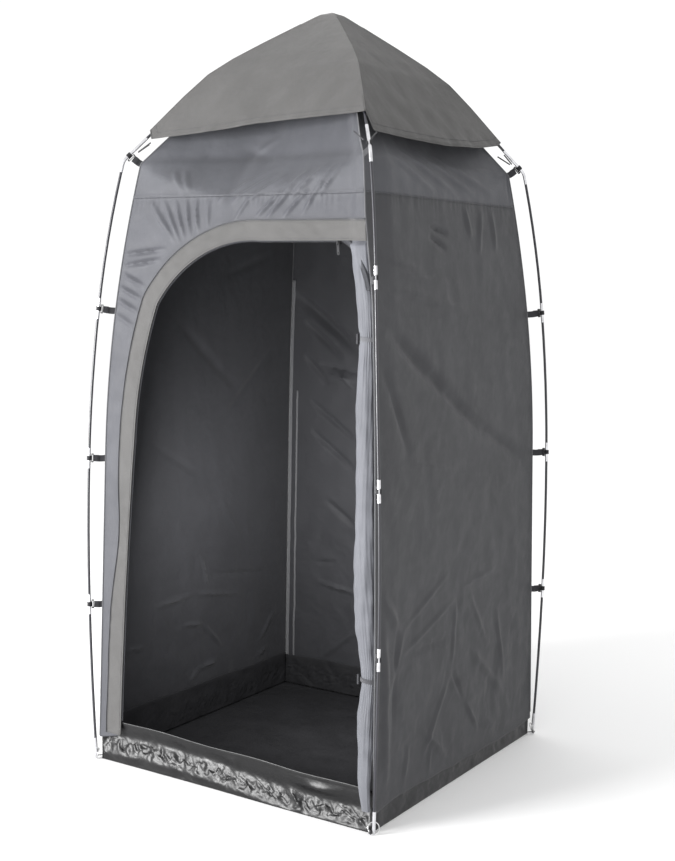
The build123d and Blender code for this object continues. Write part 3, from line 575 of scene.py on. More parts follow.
# ---------------------------------------------------------------- walls
# Folds (soft) and creases (sharp) of each wall in mm, as a0, z0, a1, z1, half width, height
FRONT_FOLDS = [
    (-105, 1685, 48, 1785, 6, 8.5), (-55, 1683, 75, 1768, 5.5, 8), (0, 1685, 118, 1762, 5.5, 8),
    (-40, 1630, 20, 1712, 5, 6), (35, 1640, 125, 1720, 5.5, 9), (70, 1636, 158, 1724, 5, 8.5),
    (105, 1680, 192, 1776, 5.5, 9.5), (128, 1640, 206, 1718, 5, 8.5), (148, 1692, 252, 1786, 5.5, 10),
    (190, 1645, 282, 1788, 5.5, 9.5), (235, 1690, 310, 1785, 5.5, 8.5), (-237, 1570, -352, 1696, 7, 8),
    (-225, 1572, -300, 1700, 6, 8), (-207, 1576, -256, 1700, 5.5, 8), (-189, 1588, -215, 1700, 6, 7.5),
    (-163, 1600, -180, 1700, 6, 7), (-130, 1612, -135, 1700, 7, 5.5), (-270, 1556, -442, 1538, 6, 9.5),
    (-290, 1526, -440, 1505, 6, 9), (-345, 1444, -438, 1484, 6, 8.5), (-350, 1406, -456, 1450, 6, 8.5),
    (-360, 1368, -462, 1414, 6, 8), (-375, 1325, -466, 1372, 6.5, 6), (-290, 1788, -225, 1712, 6, 7),
    (-258, 1788, -203, 1716, 5.5, 6), (-120, 1850, 40, 1800, 12, -3), (-60, 1830, 20, 1880, 10, 4.5),
]
RIGHT_FOLDS = [
    (-330, 1830, -85, 1722, 11, 8.5), (-240, 1850, 60, 1718, 12, 10.5), (-120, 1850, 170, 1722, 11, 9),
    (0, 1840, 275, 1735, 11, 7), (400, 1860, 385, 1720, 7, -4), (-140, 1628, -30, 1606, 7, -9.3),
    (-145, 1600, -45, 1566, 7, -9.3), (80, 1700, 110, 1600, 10, 7), (190, 1690, 150, 1550, 12, 7.8),
    (250, 1700, 265, 1560, 12, 7.8), (-371, 1527, -200, 1511, 6, 4.7), (-330, 1491, -40, 1474, 7, 5.4),
    (-355, 1451, -109, 1434, 6, 4.7), (-290, 1430, 50, 1400, 7, 5.4), (-400, 1345, -90, 1165, 20, -15.5),
    (-180, 1215, 130, 1035, 18, -12.4), (50, 1080, 420, 915, 18, -9.3), (-430, 1250, -300, 1000, 14, -7),
    (-359, 989, -15, 931, 8, 5.4), (-448, 640, -352, 520, 15, 8), (-435, 600, -425, 80, 16, 9),
    (-360, 580, -395, 200, 10, -5),
]
RIGHT_CREASES = [
    (-440, 1376, 440, 1371, 6, 2.2), (-250, 945, 248, 897, 6, 2.5), (-340, 520, -60, 640, 6, 5),
    (-345, 450, -20, 555, 6, 5.5), (-345, 450, -60, 440, 10, -6), (10, 580, 230, 600, 6, 4.5),
    (-20, 555, -50, 350, 8, 5), (-330, 520, -390, 380, 7, 4.5), (-50, 345, -230, 130, 10, 7.5),
    (-50, 345, 20, 240, 8, -6.5), (30, 230, 120, 130, 7, 6.5), (120, 140, 330, 105, 7, 5.5),
    (20, 420, 330, 160, 12, 5), (240, 480, 290, 230, 8, 5.5), (-240, 220, -60, 90, 9, 6),
    (-300, 200, -340, 70, 9, 6), (-170, 160, -200, 70, 7, 5.5), (60, 560, 180, 360, 9, 4.5),
]
BACK_FOLDS = [
    (440, 1430, 160, 1215, 20, 20.3), (400, 1330, 240, 1200, 12, 12.3), (405, 1210, 300, 1110, 10, 8.7),
    (385, 1049, 190, 919, 9, 10.9), (376, 942, 190, 813, 9, 10.9), (320, 700, 180, 610, 10, 8.7),
    (60, 860, -240, 720, 12, 6), (-300, 1600, -100, 1380, 18, 7),
]
BACK_CREASES = [
    (345, 1180, 160, 1150, 7, 8.7), (330, 1150, 180, 1125, 6, -7.2), (265, 1160, 195, 1095, 6, -8.7),
    (352, 396, 180, 374, 6.5, -10.1), (343, 116, 180, 240, 6.5, -10.1), (361, 465, 270, 476, 6, 7.2),
    (-380, 500, -120, 640, 8, 6), (-60, 430, 110, 310, 8, 6),
]
LEFT_FOLDS = [
    (200, 1360, -160, 1100, 18, 6), (-320, 1560, -50, 1480, 14, 4.5), (-380, 1250, -60, 980, 16, 5.5),
    (280, 960, 20, 820, 12, 4),
]
LEFT_CREASES = [
    (243, 427, 52, 436, 6.5, -9.6), (60, 436, -206, 387, 6, -10.4), (110, 338, -3, 323, 6, -9.6),
    (5, 325, -110, 216, 6.5, -10.4), (70, 140, 20, 176, 5.5, -9.6), (30, 174, -85, 181, 5.5, -10.4),
    (18, 560, -20, 434, 6, -8.8), (-10, 490, -430, 426, 6, 7.2), (-310, 180, -420, 290, 6.5, -9.6),
    (-300, 141, -375, 166, 5.5, -8.8), (380, 316, 300, 306, 5.5, -8),
]
# Each wall: its folds and creases, how far it sags in, how much it is rippled and crumpled, and a seed
WALLS = {
    "front": (FRONT_FOLDS, [], 0.000, 0.0007, 0.0008, 11),
    "right": (RIGHT_FOLDS, RIGHT_CREASES, 0.006, 0.0004, 0.0017, 23),
    "back": (BACK_FOLDS, BACK_CREASES, 0.006, 0.0005, 0.0018, 37),
    "left": (LEFT_FOLDS, LEFT_CREASES, 0.006, 0.0004, 0.0018, 41),
}
WALL_STEP = 0.0068
FRONT_STEP = 0.0046
FRONT_SNAP = 0.0037
PACKED_BELOW = 0.75
CLOTH_THICK = 0.0006
# Round the doorway the front wall lies flat this far out, behind the facing
BEHIND_FACING = 0.050


def cloth_lift(face, a, z):
    """How far the cloth stands off the smooth wall: sag, ripples, crumples and its folds."""
    folds, creases, sag, soft, packed, seed = WALLS[face]
    u = np.clip(a / np.maximum(wall_half(z), 1e-6), -1, 1)
    edge = smooth((1 - np.abs(u)) / 0.05)
    low = smooth((z - WALL_BOTTOM + 0.02) / 0.10)
    lift = -sag * (1 - u**2) * np.sin(np.clip(z / 1.8, 0, 1) * math.pi)
    lift += soft * ripple(a, z, 0.11, seed, stretch=1.6) * edge
    much = 0.35 + 0.65 * smooth((PACKED_BELOW - z) / 0.35)
    lift += packed * much * crumple(a, z, 0.15, seed + 3) * edge
    lift += 0.25 * packed * much * crumple(a, z, 0.045, seed + 5) * edge
    lift += (strokes(a, z, folds) + strokes(a, z, creases, sharp=True)) * smooth((1.003 - np.abs(u)) / 0.04)
    lift += 0.0019 * bell(z, SEAM, 0.0045)
    gathers = np.sin(a * 260 + 5 * np.sin(a * 31 + seed)) * bell(z, SEAM - 0.012, 0.022)
    lift += 0.0007 * gathers * edge
    return lift * low + 0.0012 * (1 - low)


def wall_grid(low, high, rows, columns):
    """Rows of (a, z) across a wall between two heights."""
    u, up = shares(rows, columns)
    z = low + (high - low) * up
    return u * wall_half(z), z


def lower_wall(step):
    """The (a, z) rows of a wall from its hem to the seam."""
    rows = int(math.ceil((SEAM - WALL_BOTTOM) / step)) + 1
    return wall_grid(WALL_BOTTOM, SEAM, rows, int(math.ceil(2 * WALL_HALF / step)) + 1)


# Height of each wall's lower edge over the tub, across it
HEMS = {
    "front": [(-0.49, 0.072), (-0.41, 0.088), (0.40, 0.080), (0.49, 0.058)],
    "right": [(-0.49, 0.052), (-0.35, 0.064), (-0.02, 0.052), (0.34, 0.044), (0.49, 0.052)],
    "back": [(-0.49, 0.052), (-0.20, 0.062), (0.15, 0.050), (0.49, 0.060)],
    "left": [(-0.49, 0.060), (-0.10, 0.050), (0.25, 0.064), (0.49, 0.072)],
}


def pull_to_hem(face, a, z):
    """Lower edge of the layout moved to the hem's own line, which is never quite straight."""
    drop = follow(a, HEMS[face]) + 0.0015 * np.sin(a * 43) - WALL_BOTTOM
    return z + drop * (1 - smooth((z - WALL_BOTTOM) / 0.15))


# The side walls take the darker copy of the wall cloth: painted shade
for face in ("right", "back", "left"):
    a, z = lower_wall(WALL_STEP)
    sheet = wall_point(face, a, pull_to_hem(face, a, z), cloth_lift(face, a, z)), grid_faces(*a.shape)
    wall = make_piece(
        f"{face}_wall_cloth", *sheet, "tent", "wall_cloth", side_cloth_painted_shade, [f"{face}_wall"], thick=CLOTH_THICK
    )


def inside_door(a, z):
    """How far inside the doorway points lie, negative outside it, and the nearest points of its edge."""
    edge = doorway_line(0.004)
    edge_normal = normals_of(edge)
    flat = np.stack([a.ravel(), z.ravel()], axis=1)
    best = np.full(len(flat), 1e9)
    inside = np.zeros(len(flat))
    nearest = np.zeros((len(flat), 2))
    for point, normal in zip(edge, edge_normal):
        away = flat - point
        distance = np.hypot(away[:, 0], away[:, 1])
        closer = distance < best
        best[closer] = distance[closer]
        inside[closer] = -(away[closer] @ normal)
        nearest[closer] = point
    side = np.where(inside > 0, 1.0, -1.0)
    side = np.where(z.ravel() < edge[0, 1], -1.0, side)
    return (side * best).reshape(a.shape), nearest.reshape(a.shape + (2,))


def front_wall():
    """The front wall: a grid cut to the doorway, its cut edge moved onto the doorway's line."""
    a, z = lower_wall(FRONT_STEP)
    depth, nearest = inside_door(a, z)
    snap = (np.abs(depth) < FRONT_SNAP) & (nearest[..., 1] > WALL_BOTTOM)
    a = np.where(snap, nearest[..., 0], a)
    z = np.where(snap, nearest[..., 1], z)
    depth = np.where(snap, 0.0, depth)
    shown = (depth <= 1e-6).ravel()
    faces = [face for face in grid_faces(*a.shape) if all(shown[i] for i in face)]
    middle = [grid.ravel()[np.array(faces)].mean(axis=1) for grid in (a, z)]
    left_of_door, over_door = middle[0] < 0.2, middle[1] > DOOR_TOP_RIGHT[1] + 0.004
    keep = (inside_door(*middle)[0] < 0) & (left_of_door | over_door)
    faces = [face for face, outside in zip(faces, keep) if outside]
    hem = pull_to_hem("front", a, z)
    flat = 0.25 + 0.75 * smooth((-depth - BEHIND_FACING) / 0.02)
    points = wall_point("front", a, hem, cloth_lift("front", a, z) * flat).reshape(-1, 3)
    used = sorted({i for face in faces for i in face})
    number = {old: new for new, old in enumerate(used)}
    faces = [tuple(number[i] for i in face) for face in faces]
    return points[used], faces


# The area is the least this flat size allows; the cloth shown is 0.30 m2, as the roll hides the rest
wall = make_piece(
    "front_wall_cloth", *front_wall(), "tent", "wall_cloth", wall_cloth, ["front_wall"], thick=CLOTH_THICK
)


# ---------------------------------------------------------------- inner roof
ROOF_GRID = (78, 137)


def inner_roof():
    """The upper body and inner roof: one sheet of four gores from the seam to the peak."""
    parts = []
    peak = ROOF_LINE[-1][1]
    for face in FACES:
        a, z = wall_grid(SEAM, peak, *ROOF_GRID)
        lift = cloth_lift(face, a, z) * np.clip((peak - z) / 0.2, 0, 1)
        parts.append((wall_point(face, a, z, lift), grid_faces(*a.shape)))
    return welded(*join(parts))


# The upper body and inner roof take the lighter copy of the wall cloth: painted light
roof = make_piece(
    "inner_roof_cloth", *inner_roof(), "tent", "wall_cloth", roof_cloth_painted_light, ["inner_roof"], thick=CLOTH_THICK
)


# ---------------------------------------------------------------- seams, bindings and stitching
BINDING_TOP = 1.93
CORNER_TAPE_FOOT = 0.085
STITCH_LENGTH = 0.0034
STITCH_GAP = 0.0012
STITCH_RADIUS = 0.00035


def corner_tape_rows(top, inset, half_width):
    """A light seam tape down the inside of the back left corner, inset from the corner itself."""
    u, up = shares(170, 5)
    z = top + (CORNER_TAPE_FOOT - top) * up
    a = wall_half(z) - inset + half_width * u
    return wall_point("back", a, z, cloth_lift("back", a, z) - 0.0024), grid_faces(*a.shape)


corner_tapes = [corner_tape_rows(1.470, 0.0095, 0.0070), corner_tape_rows(1.080, 0.0380, 0.0035)]
make_piece("inside_corner_tapes", *join(corner_tapes), "tent", "wall_cloth", corner_tape, thick=0.0008)


def sewn_line(points, out):
    """Stitches along a line of points with their outward directions."""
    parts = []
    along = np.concatenate([[0], np.cumsum(np.linalg.norm(np.diff(points, axis=0), axis=1))])
    rise = np.array([-0.0002, 0.0004, 0.0004, -0.0002])
    at = 0.0
    while at + STITCH_LENGTH < along[-1]:
        marks = at + np.array([0.0, 0.3, 0.7, 1.0]) * STITCH_LENGTH
        middle, outward = (
            np.stack([np.interp(marks, along, values) for values in rows.T], axis=1) for rows in (points, out)
        )
        parts.append(tube_along(middle + outward * rise[:, None], STITCH_RADIUS, sides=4))
        at += STITCH_LENGTH + STITCH_GAP
    return parts


def on_wall(face, line, lift):
    """Points on a wall's cloth along an (a, z) line, and the direction out of the wall."""
    a, z = line[:, 0], line[:, 1]
    base = cloth_lift(face, a, z)
    points = wall_point(face, a, z, base + lift)
    return points, unit(wall_point(face, a, z, base + lift + 0.01) - points)


seam_stitches = []
for face in FACES:
    for height in (SEAM - 0.003, SEAM + 0.003):
        reach = float(wall_half(height)) - 0.004
        line = evenly([(-reach, height), (reach, height)], 0.004)
        seam_stitches += sewn_line(*on_wall(face, line, 0.0006))
make_piece("seam_stitches", *join(seam_stitches), "tent", "wall_cloth", stitch_thread)

bindings = []
for corner in CORNERS:
    heights = np.linspace(WALL_BOTTOM + 0.004, BINDING_TOP, 150)
    line = np.stack([corner_point(corner, height) for height in heights])
    outward = line * (1, 1, 0) / np.linalg.norm(line[:, :2], axis=1)[:, None]
    bindings.append(tube_along(line + outward * 0.0006, 0.0022, sides=8))
make_piece("corner_bindings", *join(bindings), "tent", "wall_cloth", binding_cloth)


# ---------------------------------------------------------------- doorway facing, piping and zip
def beside(line, out, offsets):
    """Rows of (a, z) at offsets beside a line, along its normals."""
    offsets = np.broadcast_to(offsets, (len(offsets), len(line)))
    return line[:, 0] + offsets * out[:, 0], line[:, 1] + offsets * out[:, 1]


def door_facing():
    """Rows of the facing round the doorway's left side and top; the first is turned in behind the edge."""
    line = doorway_line(0.006, whole=False)
    line = line[(line[:, 1] > FACING_FOOT) & (line[:, 0] < DOOR_TOP_RIGHT[0])]
    line = evenly(np.concatenate([line, FACING_END]), 0.006)
    out = normals_of(line)
    at, spread, less = FACING_NARROW
    width = FACING_WIDTH - less * bell(line[:, 1], at, spread) * (line[:, 0] < -0.2)
    share = np.linspace(0, 1, 13)[:, None]
    a, z = beside(line, out, share * width)
    a = np.minimum(a, wall_half(z) - 0.0008)
    lift = cloth_lift("front", a, z) * (0.25 + 0.6 * smooth((share - 0.85) / 0.15))
    lift = lift + 0.0026 + 0.0006 * ripple(a, z, 0.07, 71) * np.sin(share * math.pi)
    turned_in = wall_point("front", a[0] + out[:, 0] * 0.0005, z[0] + out[:, 1] * 0.0005, lift[0] - 0.004)
    return np.concatenate([turned_in[None], wall_point("front", a, z, lift)])


rows = door_facing()
facing = make_piece(
    "door_arch_facing_cloth",
    rows,
    grid_faces(*rows.shape[:2]),
    "tent",
    "facing_cloth",
    facing_cloth,
    ["door_arch_facing"],
    thick=0.0008,
)

piping = tube_along(rows[-1] + (0, -0.0006, 0), 0.0021, sides=8)
make_piece("door_arch_piping", *piping, "tent", "facing_cloth", piping_cloth)
stitches = []
for row in (rows[2], rows[-2]):
    outward = np.zeros_like(row) + (0, -1, 0)
    stitches += sewn_line(row + outward * 0.0008, outward)
make_piece("door_arch_stitches", *join(stitches), "tent", "facing_cloth", stitch_thread)


ZIP_END = 1.45
ZIP_EDGE = 0.004
COIL_STEP = 0.0004
COIL_PITCH = 0.0022


def zip_tape_and_coil():
    """The door's zip half: a tape behind the doorway's edge with a coil along it."""
    line = doorway_line(0.004)
    line = line[np.argmax(line[:, 1] > TUB_HEIGHT + 0.004) :]
    line = line[: np.argmax((line[:, 0] > 0.3) & (line[:, 1] < ZIP_END))]
    out = normals_of(line)
    a, z = beside(line, out, np.array([[0.010], [0.006], [0.002], [-0.002], [-ZIP_EDGE]]))
    tape = wall_point("front", a, z, -0.0022)
    fine = evenly(wall_point("front", a[-1], z[-1], -0.0016), COIL_STEP)
    marks, ends = np.linspace(0, 1, len(fine)), np.linspace(0, 1, len(out))
    turn = np.arange(len(fine)) * COIL_STEP / COIL_PITCH * 2 * math.pi
    for axis, side in ((0, 0), (2, 1)):
        fine[:, axis] += np.interp(marks, ends, -out[:, side]) * 0.0012 * np.cos(turn)
    fine[:, 1] += 0.0011 * np.sin(turn)
    return (tape, grid_faces(*a.shape)), tube_along(fine, 0.00042, sides=4)


tape, coil = zip_tape_and_coil()
make_piece("zip_tape", *tape, "tent", "zip_coil", piping_cloth, ["zip_chain"], thick=0.0006)
make_piece("zip_coil_teeth", *coil, "tent", "zip_coil", zip_coil)


# ---------------------------------------------------------------- rolled door
# The upper toggle's crossbar: its middle, its pivot's direction, how far back it reaches, and its reach
TOGGLE_MIDDLE = np.array([0.396272, -0.455858, 1.322])
TOGGLE_AXIS = np.array([-0.747951, -0.663754, 0.0])
TOGGLE_BACK = -0.0052
TOGGLE_REACH = 0.0165
TIE_SIDES = 72
# A tie's section, as height beside its middle and how far out
TIE_PROFILE = [
    (-0.0055, 0), (-0.0055, 0.001), (-0.002, 0.0014), (0.002, 0.0012), (0.0055, 0.0008), (0.0055, 0),
]
ROLL_ROWS = 330
ROLL_SIDES = 96
# The roll's top is drawn back and its right side in, to clear the walls as the door swings
ROLL_TOP_FROM = 1.566
ROLL_TOP_BACK = 0.009
ROLL_SIDE_IN = 0.0016
TIE_SLACK = 0.0014


def roll_value(column, z):
    """Half width, half depth or setback of the door bundle at a height, eased between its sections."""
    heights = np.array([row[0] for row in ROLL_SECTIONS])
    values = np.array([row[column] for row in ROLL_SECTIONS])
    slopes = np.gradient(values, heights)
    i = np.clip(np.searchsorted(heights, z) - 1, 0, len(heights) - 2)
    span = heights[i + 1] - heights[i]
    t = (z - heights[i]) / span
    h00, h10 = 2 * t**3 - 3 * t**2 + 1, t**3 - 2 * t**2 + t
    h01, h11 = -2 * t**3 + 3 * t**2, t**3 - t**2
    return h00 * values[i] + h10 * span * slopes[i] + h01 * values[i + 1] + h11 * span * slopes[i + 1]


def roll_spread(z):
    """Middle and half width of the door bundle: from the CAD bundle's left side to the tent's corner."""
    left = door_right(z) - ROLL_GAP - 2 * roll_value(1, z)
    right = wall_half(z) - 0.0015 - follow(z, CORNER_LEAN) * math.sqrt(0.5)
    return (left + right) / 2, (right - left) / 2


def roll_centre(z):
    """Middle of the door bundle at a height."""
    forward = 0.006 + 0.5 * follow(z, CORNER_LEAN)
    return np.stack([roll_spread(z)[0], -wall_half(z) + roll_value(3, z) - forward, z], axis=-1)


def behind_toggle(points):
    """The points with those in the way of the turning upper toggle pressed back behind its crossbar."""
    rel = points - TOGGLE_MIDDLE
    ahead = rel @ TOGGLE_AXIS
    aside = np.linalg.norm(rel - ahead[..., None] * TOGGLE_AXIS, axis=-1)
    limit = TOGGLE_BACK + 0.03 * smooth((aside - TOGGLE_REACH) / 0.010)
    return points - np.maximum(ahead - limit, 0)[..., None] * TOGGLE_AXIS


def door_bundle():
    """The gathered door: folds run down it, tighten at the ties and open between them."""
    z = np.linspace(ROLL_SECTIONS[0][0], ROLL_SECTIONS[-1][0], ROLL_ROWS)
    angle = np.linspace(0, 2 * math.pi, ROLL_SIDES, endpoint=False)
    grid_z, grid_angle = np.meshgrid(z, angle, indexing="ij")
    pinch = bell(grid_z, TIE_HEIGHTS["lower"], 0.035) + bell(grid_z, TIE_HEIGHTS["upper"], 0.035)
    drift = 0.35 * np.sin(grid_z * 5.1) + 0.18 * np.sin(grid_z * 13.7 + 1.3)
    folds = 0.55 * np.sin(7 * (grid_angle + drift)) + 0.3 * np.sin(12 * (grid_angle - 0.6 * drift) + 1.1)
    folds += 0.22 * np.sin(19 * grid_angle + 6 * np.sin(grid_z * 9))
    near_tie = bell(grid_z, TIE_HEIGHTS["lower"], 0.11) + bell(grid_z, TIE_HEIGHTS["upper"], 0.09)
    fine = np.sin(23 * grid_angle + 2 * drift) * near_tie
    small = ripple(grid_angle * 0.03, grid_z, 0.06, 91, stretch=1.4)
    width = roll_spread(z)[1][:, None]
    deep = roll_value(2, z)[:, None]
    radius = 0.95 + 0.042 * folds * (1 - 0.6 * np.clip(pinch, 0, 1)) + 0.035 * fine + 0.03 * small
    centre = roll_centre(z)
    x = centre[:, :1] + width * radius * np.cos(grid_angle)
    y = centre[:, 1:2] + deep * radius * np.sin(grid_angle)
    x -= ROLL_SIDE_IN * np.maximum(np.cos(grid_angle), 0)
    y += ROLL_TOP_BACK * smooth((grid_z - ROLL_TOP_FROM) / 0.012)
    points = behind_toggle(np.stack([x, y, grid_z], axis=-1)).reshape(-1, 3)
    faces = grid_faces(ROLL_ROWS, ROLL_SIDES, closed=True)
    ends = [centre[0] - (0, 0, 0.002), centre[-1] + (0, ROLL_TOP_BACK, 0.002)]
    count = len(points)
    top = count - ROLL_SIDES
    for i in range(ROLL_SIDES):
        j = (i + 1) % ROLL_SIDES
        faces += [(j, i, count), (top + i, top + j, count + 1)]
    return np.concatenate([points, ends]), faces


make_piece("door_roll_cloth", *door_bundle(), "door", "door_cloth", door_cloth, ["door_roll"])


def door_tie(height):
    """A tie tape round the bundle, thickest along its middle."""
    across = float(roll_spread(np.array(height))[1]) + TIE_SLACK
    deep = float(roll_value(2, height)) + TIE_SLACK
    x, y, _ = roll_centre(np.array(height))
    angles = np.linspace(0, 2 * math.pi, TIE_SIDES, endpoint=False)
    sway = 0.0012 * np.sin(2 * angles + 0.7)
    rows = []
    for up, out in TIE_PROFILE:
        ring = [x + (across + out) * np.cos(angles), y + (deep + out) * np.sin(angles), height + up + sway]
        rows.append(np.stack(ring, axis=-1))
    points = behind_toggle(np.concatenate(rows + rows[:1]))
    return points, [f[::-1] for f in grid_faces(len(rows) + 1, TIE_SIDES, closed=True)]


for name, height in TIE_HEIGHTS.items():
    tape = upper_tie_tape if name == "upper" else tie_tape
    make_piece(f"{name}_door_tie_tape", *welded(*door_tie(height)), "door", "tie", tape, [f"{name}_door_tie"])


# ---------------------------------------------------------------- webbing straps
STRAP_THICK = 0.0016
STRAP_HALF = 0.0098
# A strap's section, as a share of its half width and of its half thickness
STRAP_PROFILE = [(-1, 0.55), (-0.93, 1.0), (-0.5, 0.78), (0, 0.8), (0.5, 0.78), (0.93, 1.0), (1.0, 0.55)]


def strap_ends(corner):
    """The points at the pole end and at the wall end of each of a corner's CAD straps."""
    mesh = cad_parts[f"webbing_straps_{corner}"].data
    points = np.array([v.co[:] for v in mesh.vertices])
    heights = np.sort(points[:, 2])
    breaks = np.where(np.diff(heights) > 0.15)[0]
    limits = [-1.0] + [(heights[i] + heights[i + 1]) / 2 for i in breaks] + [9.0]
    ends = []
    for low, high in zip(limits, limits[1:]):
        own = points[(points[:, 2] > low) & (points[:, 2] < high)]
        reach = np.hypot(own[:, 0], own[:, 1])
        middle = (reach.min() + reach.max()) / 2
        ends.append((own[reach > middle], own[reach <= middle]))
    return ends


def band(line, across, half_width):
    """A flat tape along a line, with slightly thicker edges, as points and faces."""
    line = np.asarray(line, float)
    up = unit(np.cross(unit(np.gradient(line, axis=0)), across))
    front = [line + across * half_width * s + up * STRAP_THICK / 2 * e for s, e in STRAP_PROFILE]
    back = [line + across * half_width * s - up * STRAP_THICK / 2 * e for s, e in reversed(STRAP_PROFILE)]
    rings = np.stack(front + back, axis=1)
    return rings.reshape(-1, 3), tube_faces(*rings.shape[:2])


def strap(corner, outer, inner):
    """One strap: a taut tape from its clip to the wall corner, doubled and stitched at the clip."""
    pole_end, wall_end = outer.mean(axis=0), inner.mean(axis=0)
    across = outer[outer[:, 2] > pole_end[2]].mean(axis=0) - pole_end
    across = across / np.linalg.norm(across)
    run = corner_point(corner, float(wall_end[2])) - pole_end
    marks = np.linspace(0, 1, 14)
    line = pole_end + marks[:, None] * run
    line[:, 2] -= 0.0012 * np.sin(marks * math.pi)
    parts = [band(line, across, STRAP_HALF)]
    ahead = run / np.linalg.norm(run)
    side = np.cross(ahead, across)
    fold = pole_end + ahead * 0.001 + side * 0.0018
    parts.append(band([fold, fold + ahead * 0.006, fold + ahead * 0.014], across, STRAP_HALF - 0.0002))
    for step in (0.0, 0.003):
        stitch = fold + ahead * (0.009 + step) + side * 0.0010
        for share in np.linspace(-0.75, 0.75, 6):
            start = stitch + across * STRAP_HALF * share
            parts.append(tube_along([start + across * far for far in (0, 0.0012, 0.0024)], 0.0003, sides=4))
    return parts


for corner in CORNERS:
    parts = []
    for outer, inner in strap_ends(corner):
        parts += strap(corner, outer, inner)
    straps = f"webbing_straps_{corner}"
    make_piece(f"{straps}_tape", *join(parts), "tent", "webbing", strap_tape, [straps])


# ---------------------------------------------------------------- groundsheet tub
TUB_UNDER = 0.0006
TUB_GRID = {"front": (44, 290), "right": (28, 190)}
TUB_FLOOR_GRID = (90, 90)
# Seeds of the tub sides' crumples, each with its face's number added
STREAKS, FINE_STREAKS, SLACK, RIPPLES = 50, 60, 70, 80
# The bright crinkled stretch of the front sill: across and height of its middle
CRINKLE_LINE = [(-0.48, 0.050), (-0.30, 0.058), (-0.12, 0.054), (0.06, 0.040), (0.25, 0.027), (0.48, 0.030)]
SILL_TOP = {"front": (0.134, 0.116), "right": (0.120, 0.124), "back": (0.122, 0.108), "left": (0.112, 0.128)}


def tub_side(face):
    """One upright side of the tub, crinkled, with a hemmed top edge."""
    u, share = shares(*TUB_GRID.get(face, TUB_GRID["right"]))
    left, right = SILL_TOP[face]
    top = left + (right - left) * (u + 1) / 2 + 0.002 * np.sin(u * 9 + FACES[face])
    z = share * top
    a = u * TUB_HALF
    edge = smooth((1 - np.abs(u)) / 0.03)
    near_top = smooth((1 - share) / 0.25)
    near_floor = smooth(share / 0.12)
    if face == "front":
        middle = follow(a, CRINKLE_LINE)
        zone = bell(z, middle, 0.020)
        lean = 0.006 * bell(z, middle - 0.027, 0.018) - 0.012 * bell(z, middle + 0.030, 0.026)
        lean += 0.0065 * bell(z, 0.083, 0.011) * bell(a, 0.31, 0.045)
    else:
        zone = (0.95 if face == "back" else 0.45) * bell(z, 0.05, 0.035)
        lean = -0.004 * share
    number = FACES[face]
    streak_across, streak_along = z + 0.55 * a, 0.5 * (a - 0.55 * z)
    out = 0.0017 * zone * crumple(streak_across, streak_along, 0.022, STREAKS + number)
    out += 0.0008 * zone * crumple(streak_across, streak_along, 0.010, FINE_STREAKS + number)
    out += 0.0016 * crumple(a, z, 0.09, SLACK + number) * near_top
    hem = 0.0009 * (share > 0.93)
    away = TUB_HALF - 0.001 + (out * near_floor * edge + lean * edge + hem)
    z = z + 0.003 * zone * crumple(a, z, 0.022, RIPPLES + number) * near_floor
    return turned(a, -away, np.maximum(z, TUB_UNDER), face), grid_faces(*a.shape)


def tub_floor():
    """The tub's floor: nearly flat, with low packing creases."""
    x = shares(*TUB_FLOOR_GRID)[0] * (TUB_HALF - 0.001)
    y = x.T
    edge = smooth((1 - np.abs(x / TUB_HALF)) / 0.06) * smooth((1 - np.abs(y / TUB_HALF)) / 0.06)
    z = TUB_UNDER + edge * (0.0022 + 0.0013 * crumple(x, y, 0.16, 95) + 0.0006 * crumple(x, y, 0.05, 96))
    return np.stack([x, y, np.maximum(z, TUB_UNDER)], axis=-1), grid_faces(*x.shape)


tub = make_piece(
    "groundsheet_tub",
    *join([tub_side(face) for face in FACES] + [tub_floor()]),
    "tent",
    "groundsheet",
    tub_sheet,
    ["groundsheet"],
    thick=0.0005,
)


# ---------------------------------------------------------------- roof fly
# The fly's ridge from its peak down, as half side and height
FLY_TOP = [
    (0.0, 2.2692), (0.0104, 2.2677), (0.0205, 2.2641), (0.0303, 2.2580), (0.1450, 2.1716),
    (0.2100, 2.1203), (0.2620, 2.0718), (0.3120, 2.0060), (0.4078, 1.8680),
]
FLY_GRID = (74, 121)
FLY_LEAN = 0.0211
FLY_LEAN_FROM = 2.081
FLY_LEAN_FULL = 1.814
FLY_LEAN_START = -0.4
# Height of the fly's lower edge across each face, from its left corner to its right one
FLY_EDGE = {
    "front": [
        (-1, 1.903), (-0.9, 1.876), (-0.45, 1.889), (0, 1.906), (0.3, 1.911), (0.86, 1.918), (1, 1.921),
    ],
    "right": [(-1, 1.921), (-0.93, 1.868), (-0.5, 1.864), (0, 1.862), (0.5, 1.873), (0.9, 1.893), (1, 1.905)],
    "back": [(-1, 1.905), (-0.9, 1.908), (-0.5, 1.907), (0, 1.903), (0.5, 1.9), (0.9, 1.899), (1, 1.902)],
    "left": [(-1, 1.902), (-0.9, 1.899), (-0.5, 1.902), (0, 1.904), (0.5, 1.903), (0.9, 1.901), (1, 1.903)],
}


def fly_half(z):
    """Half side of the fly at a height."""
    return follow(z, [(height, half) for half, height in reversed(FLY_TOP)])


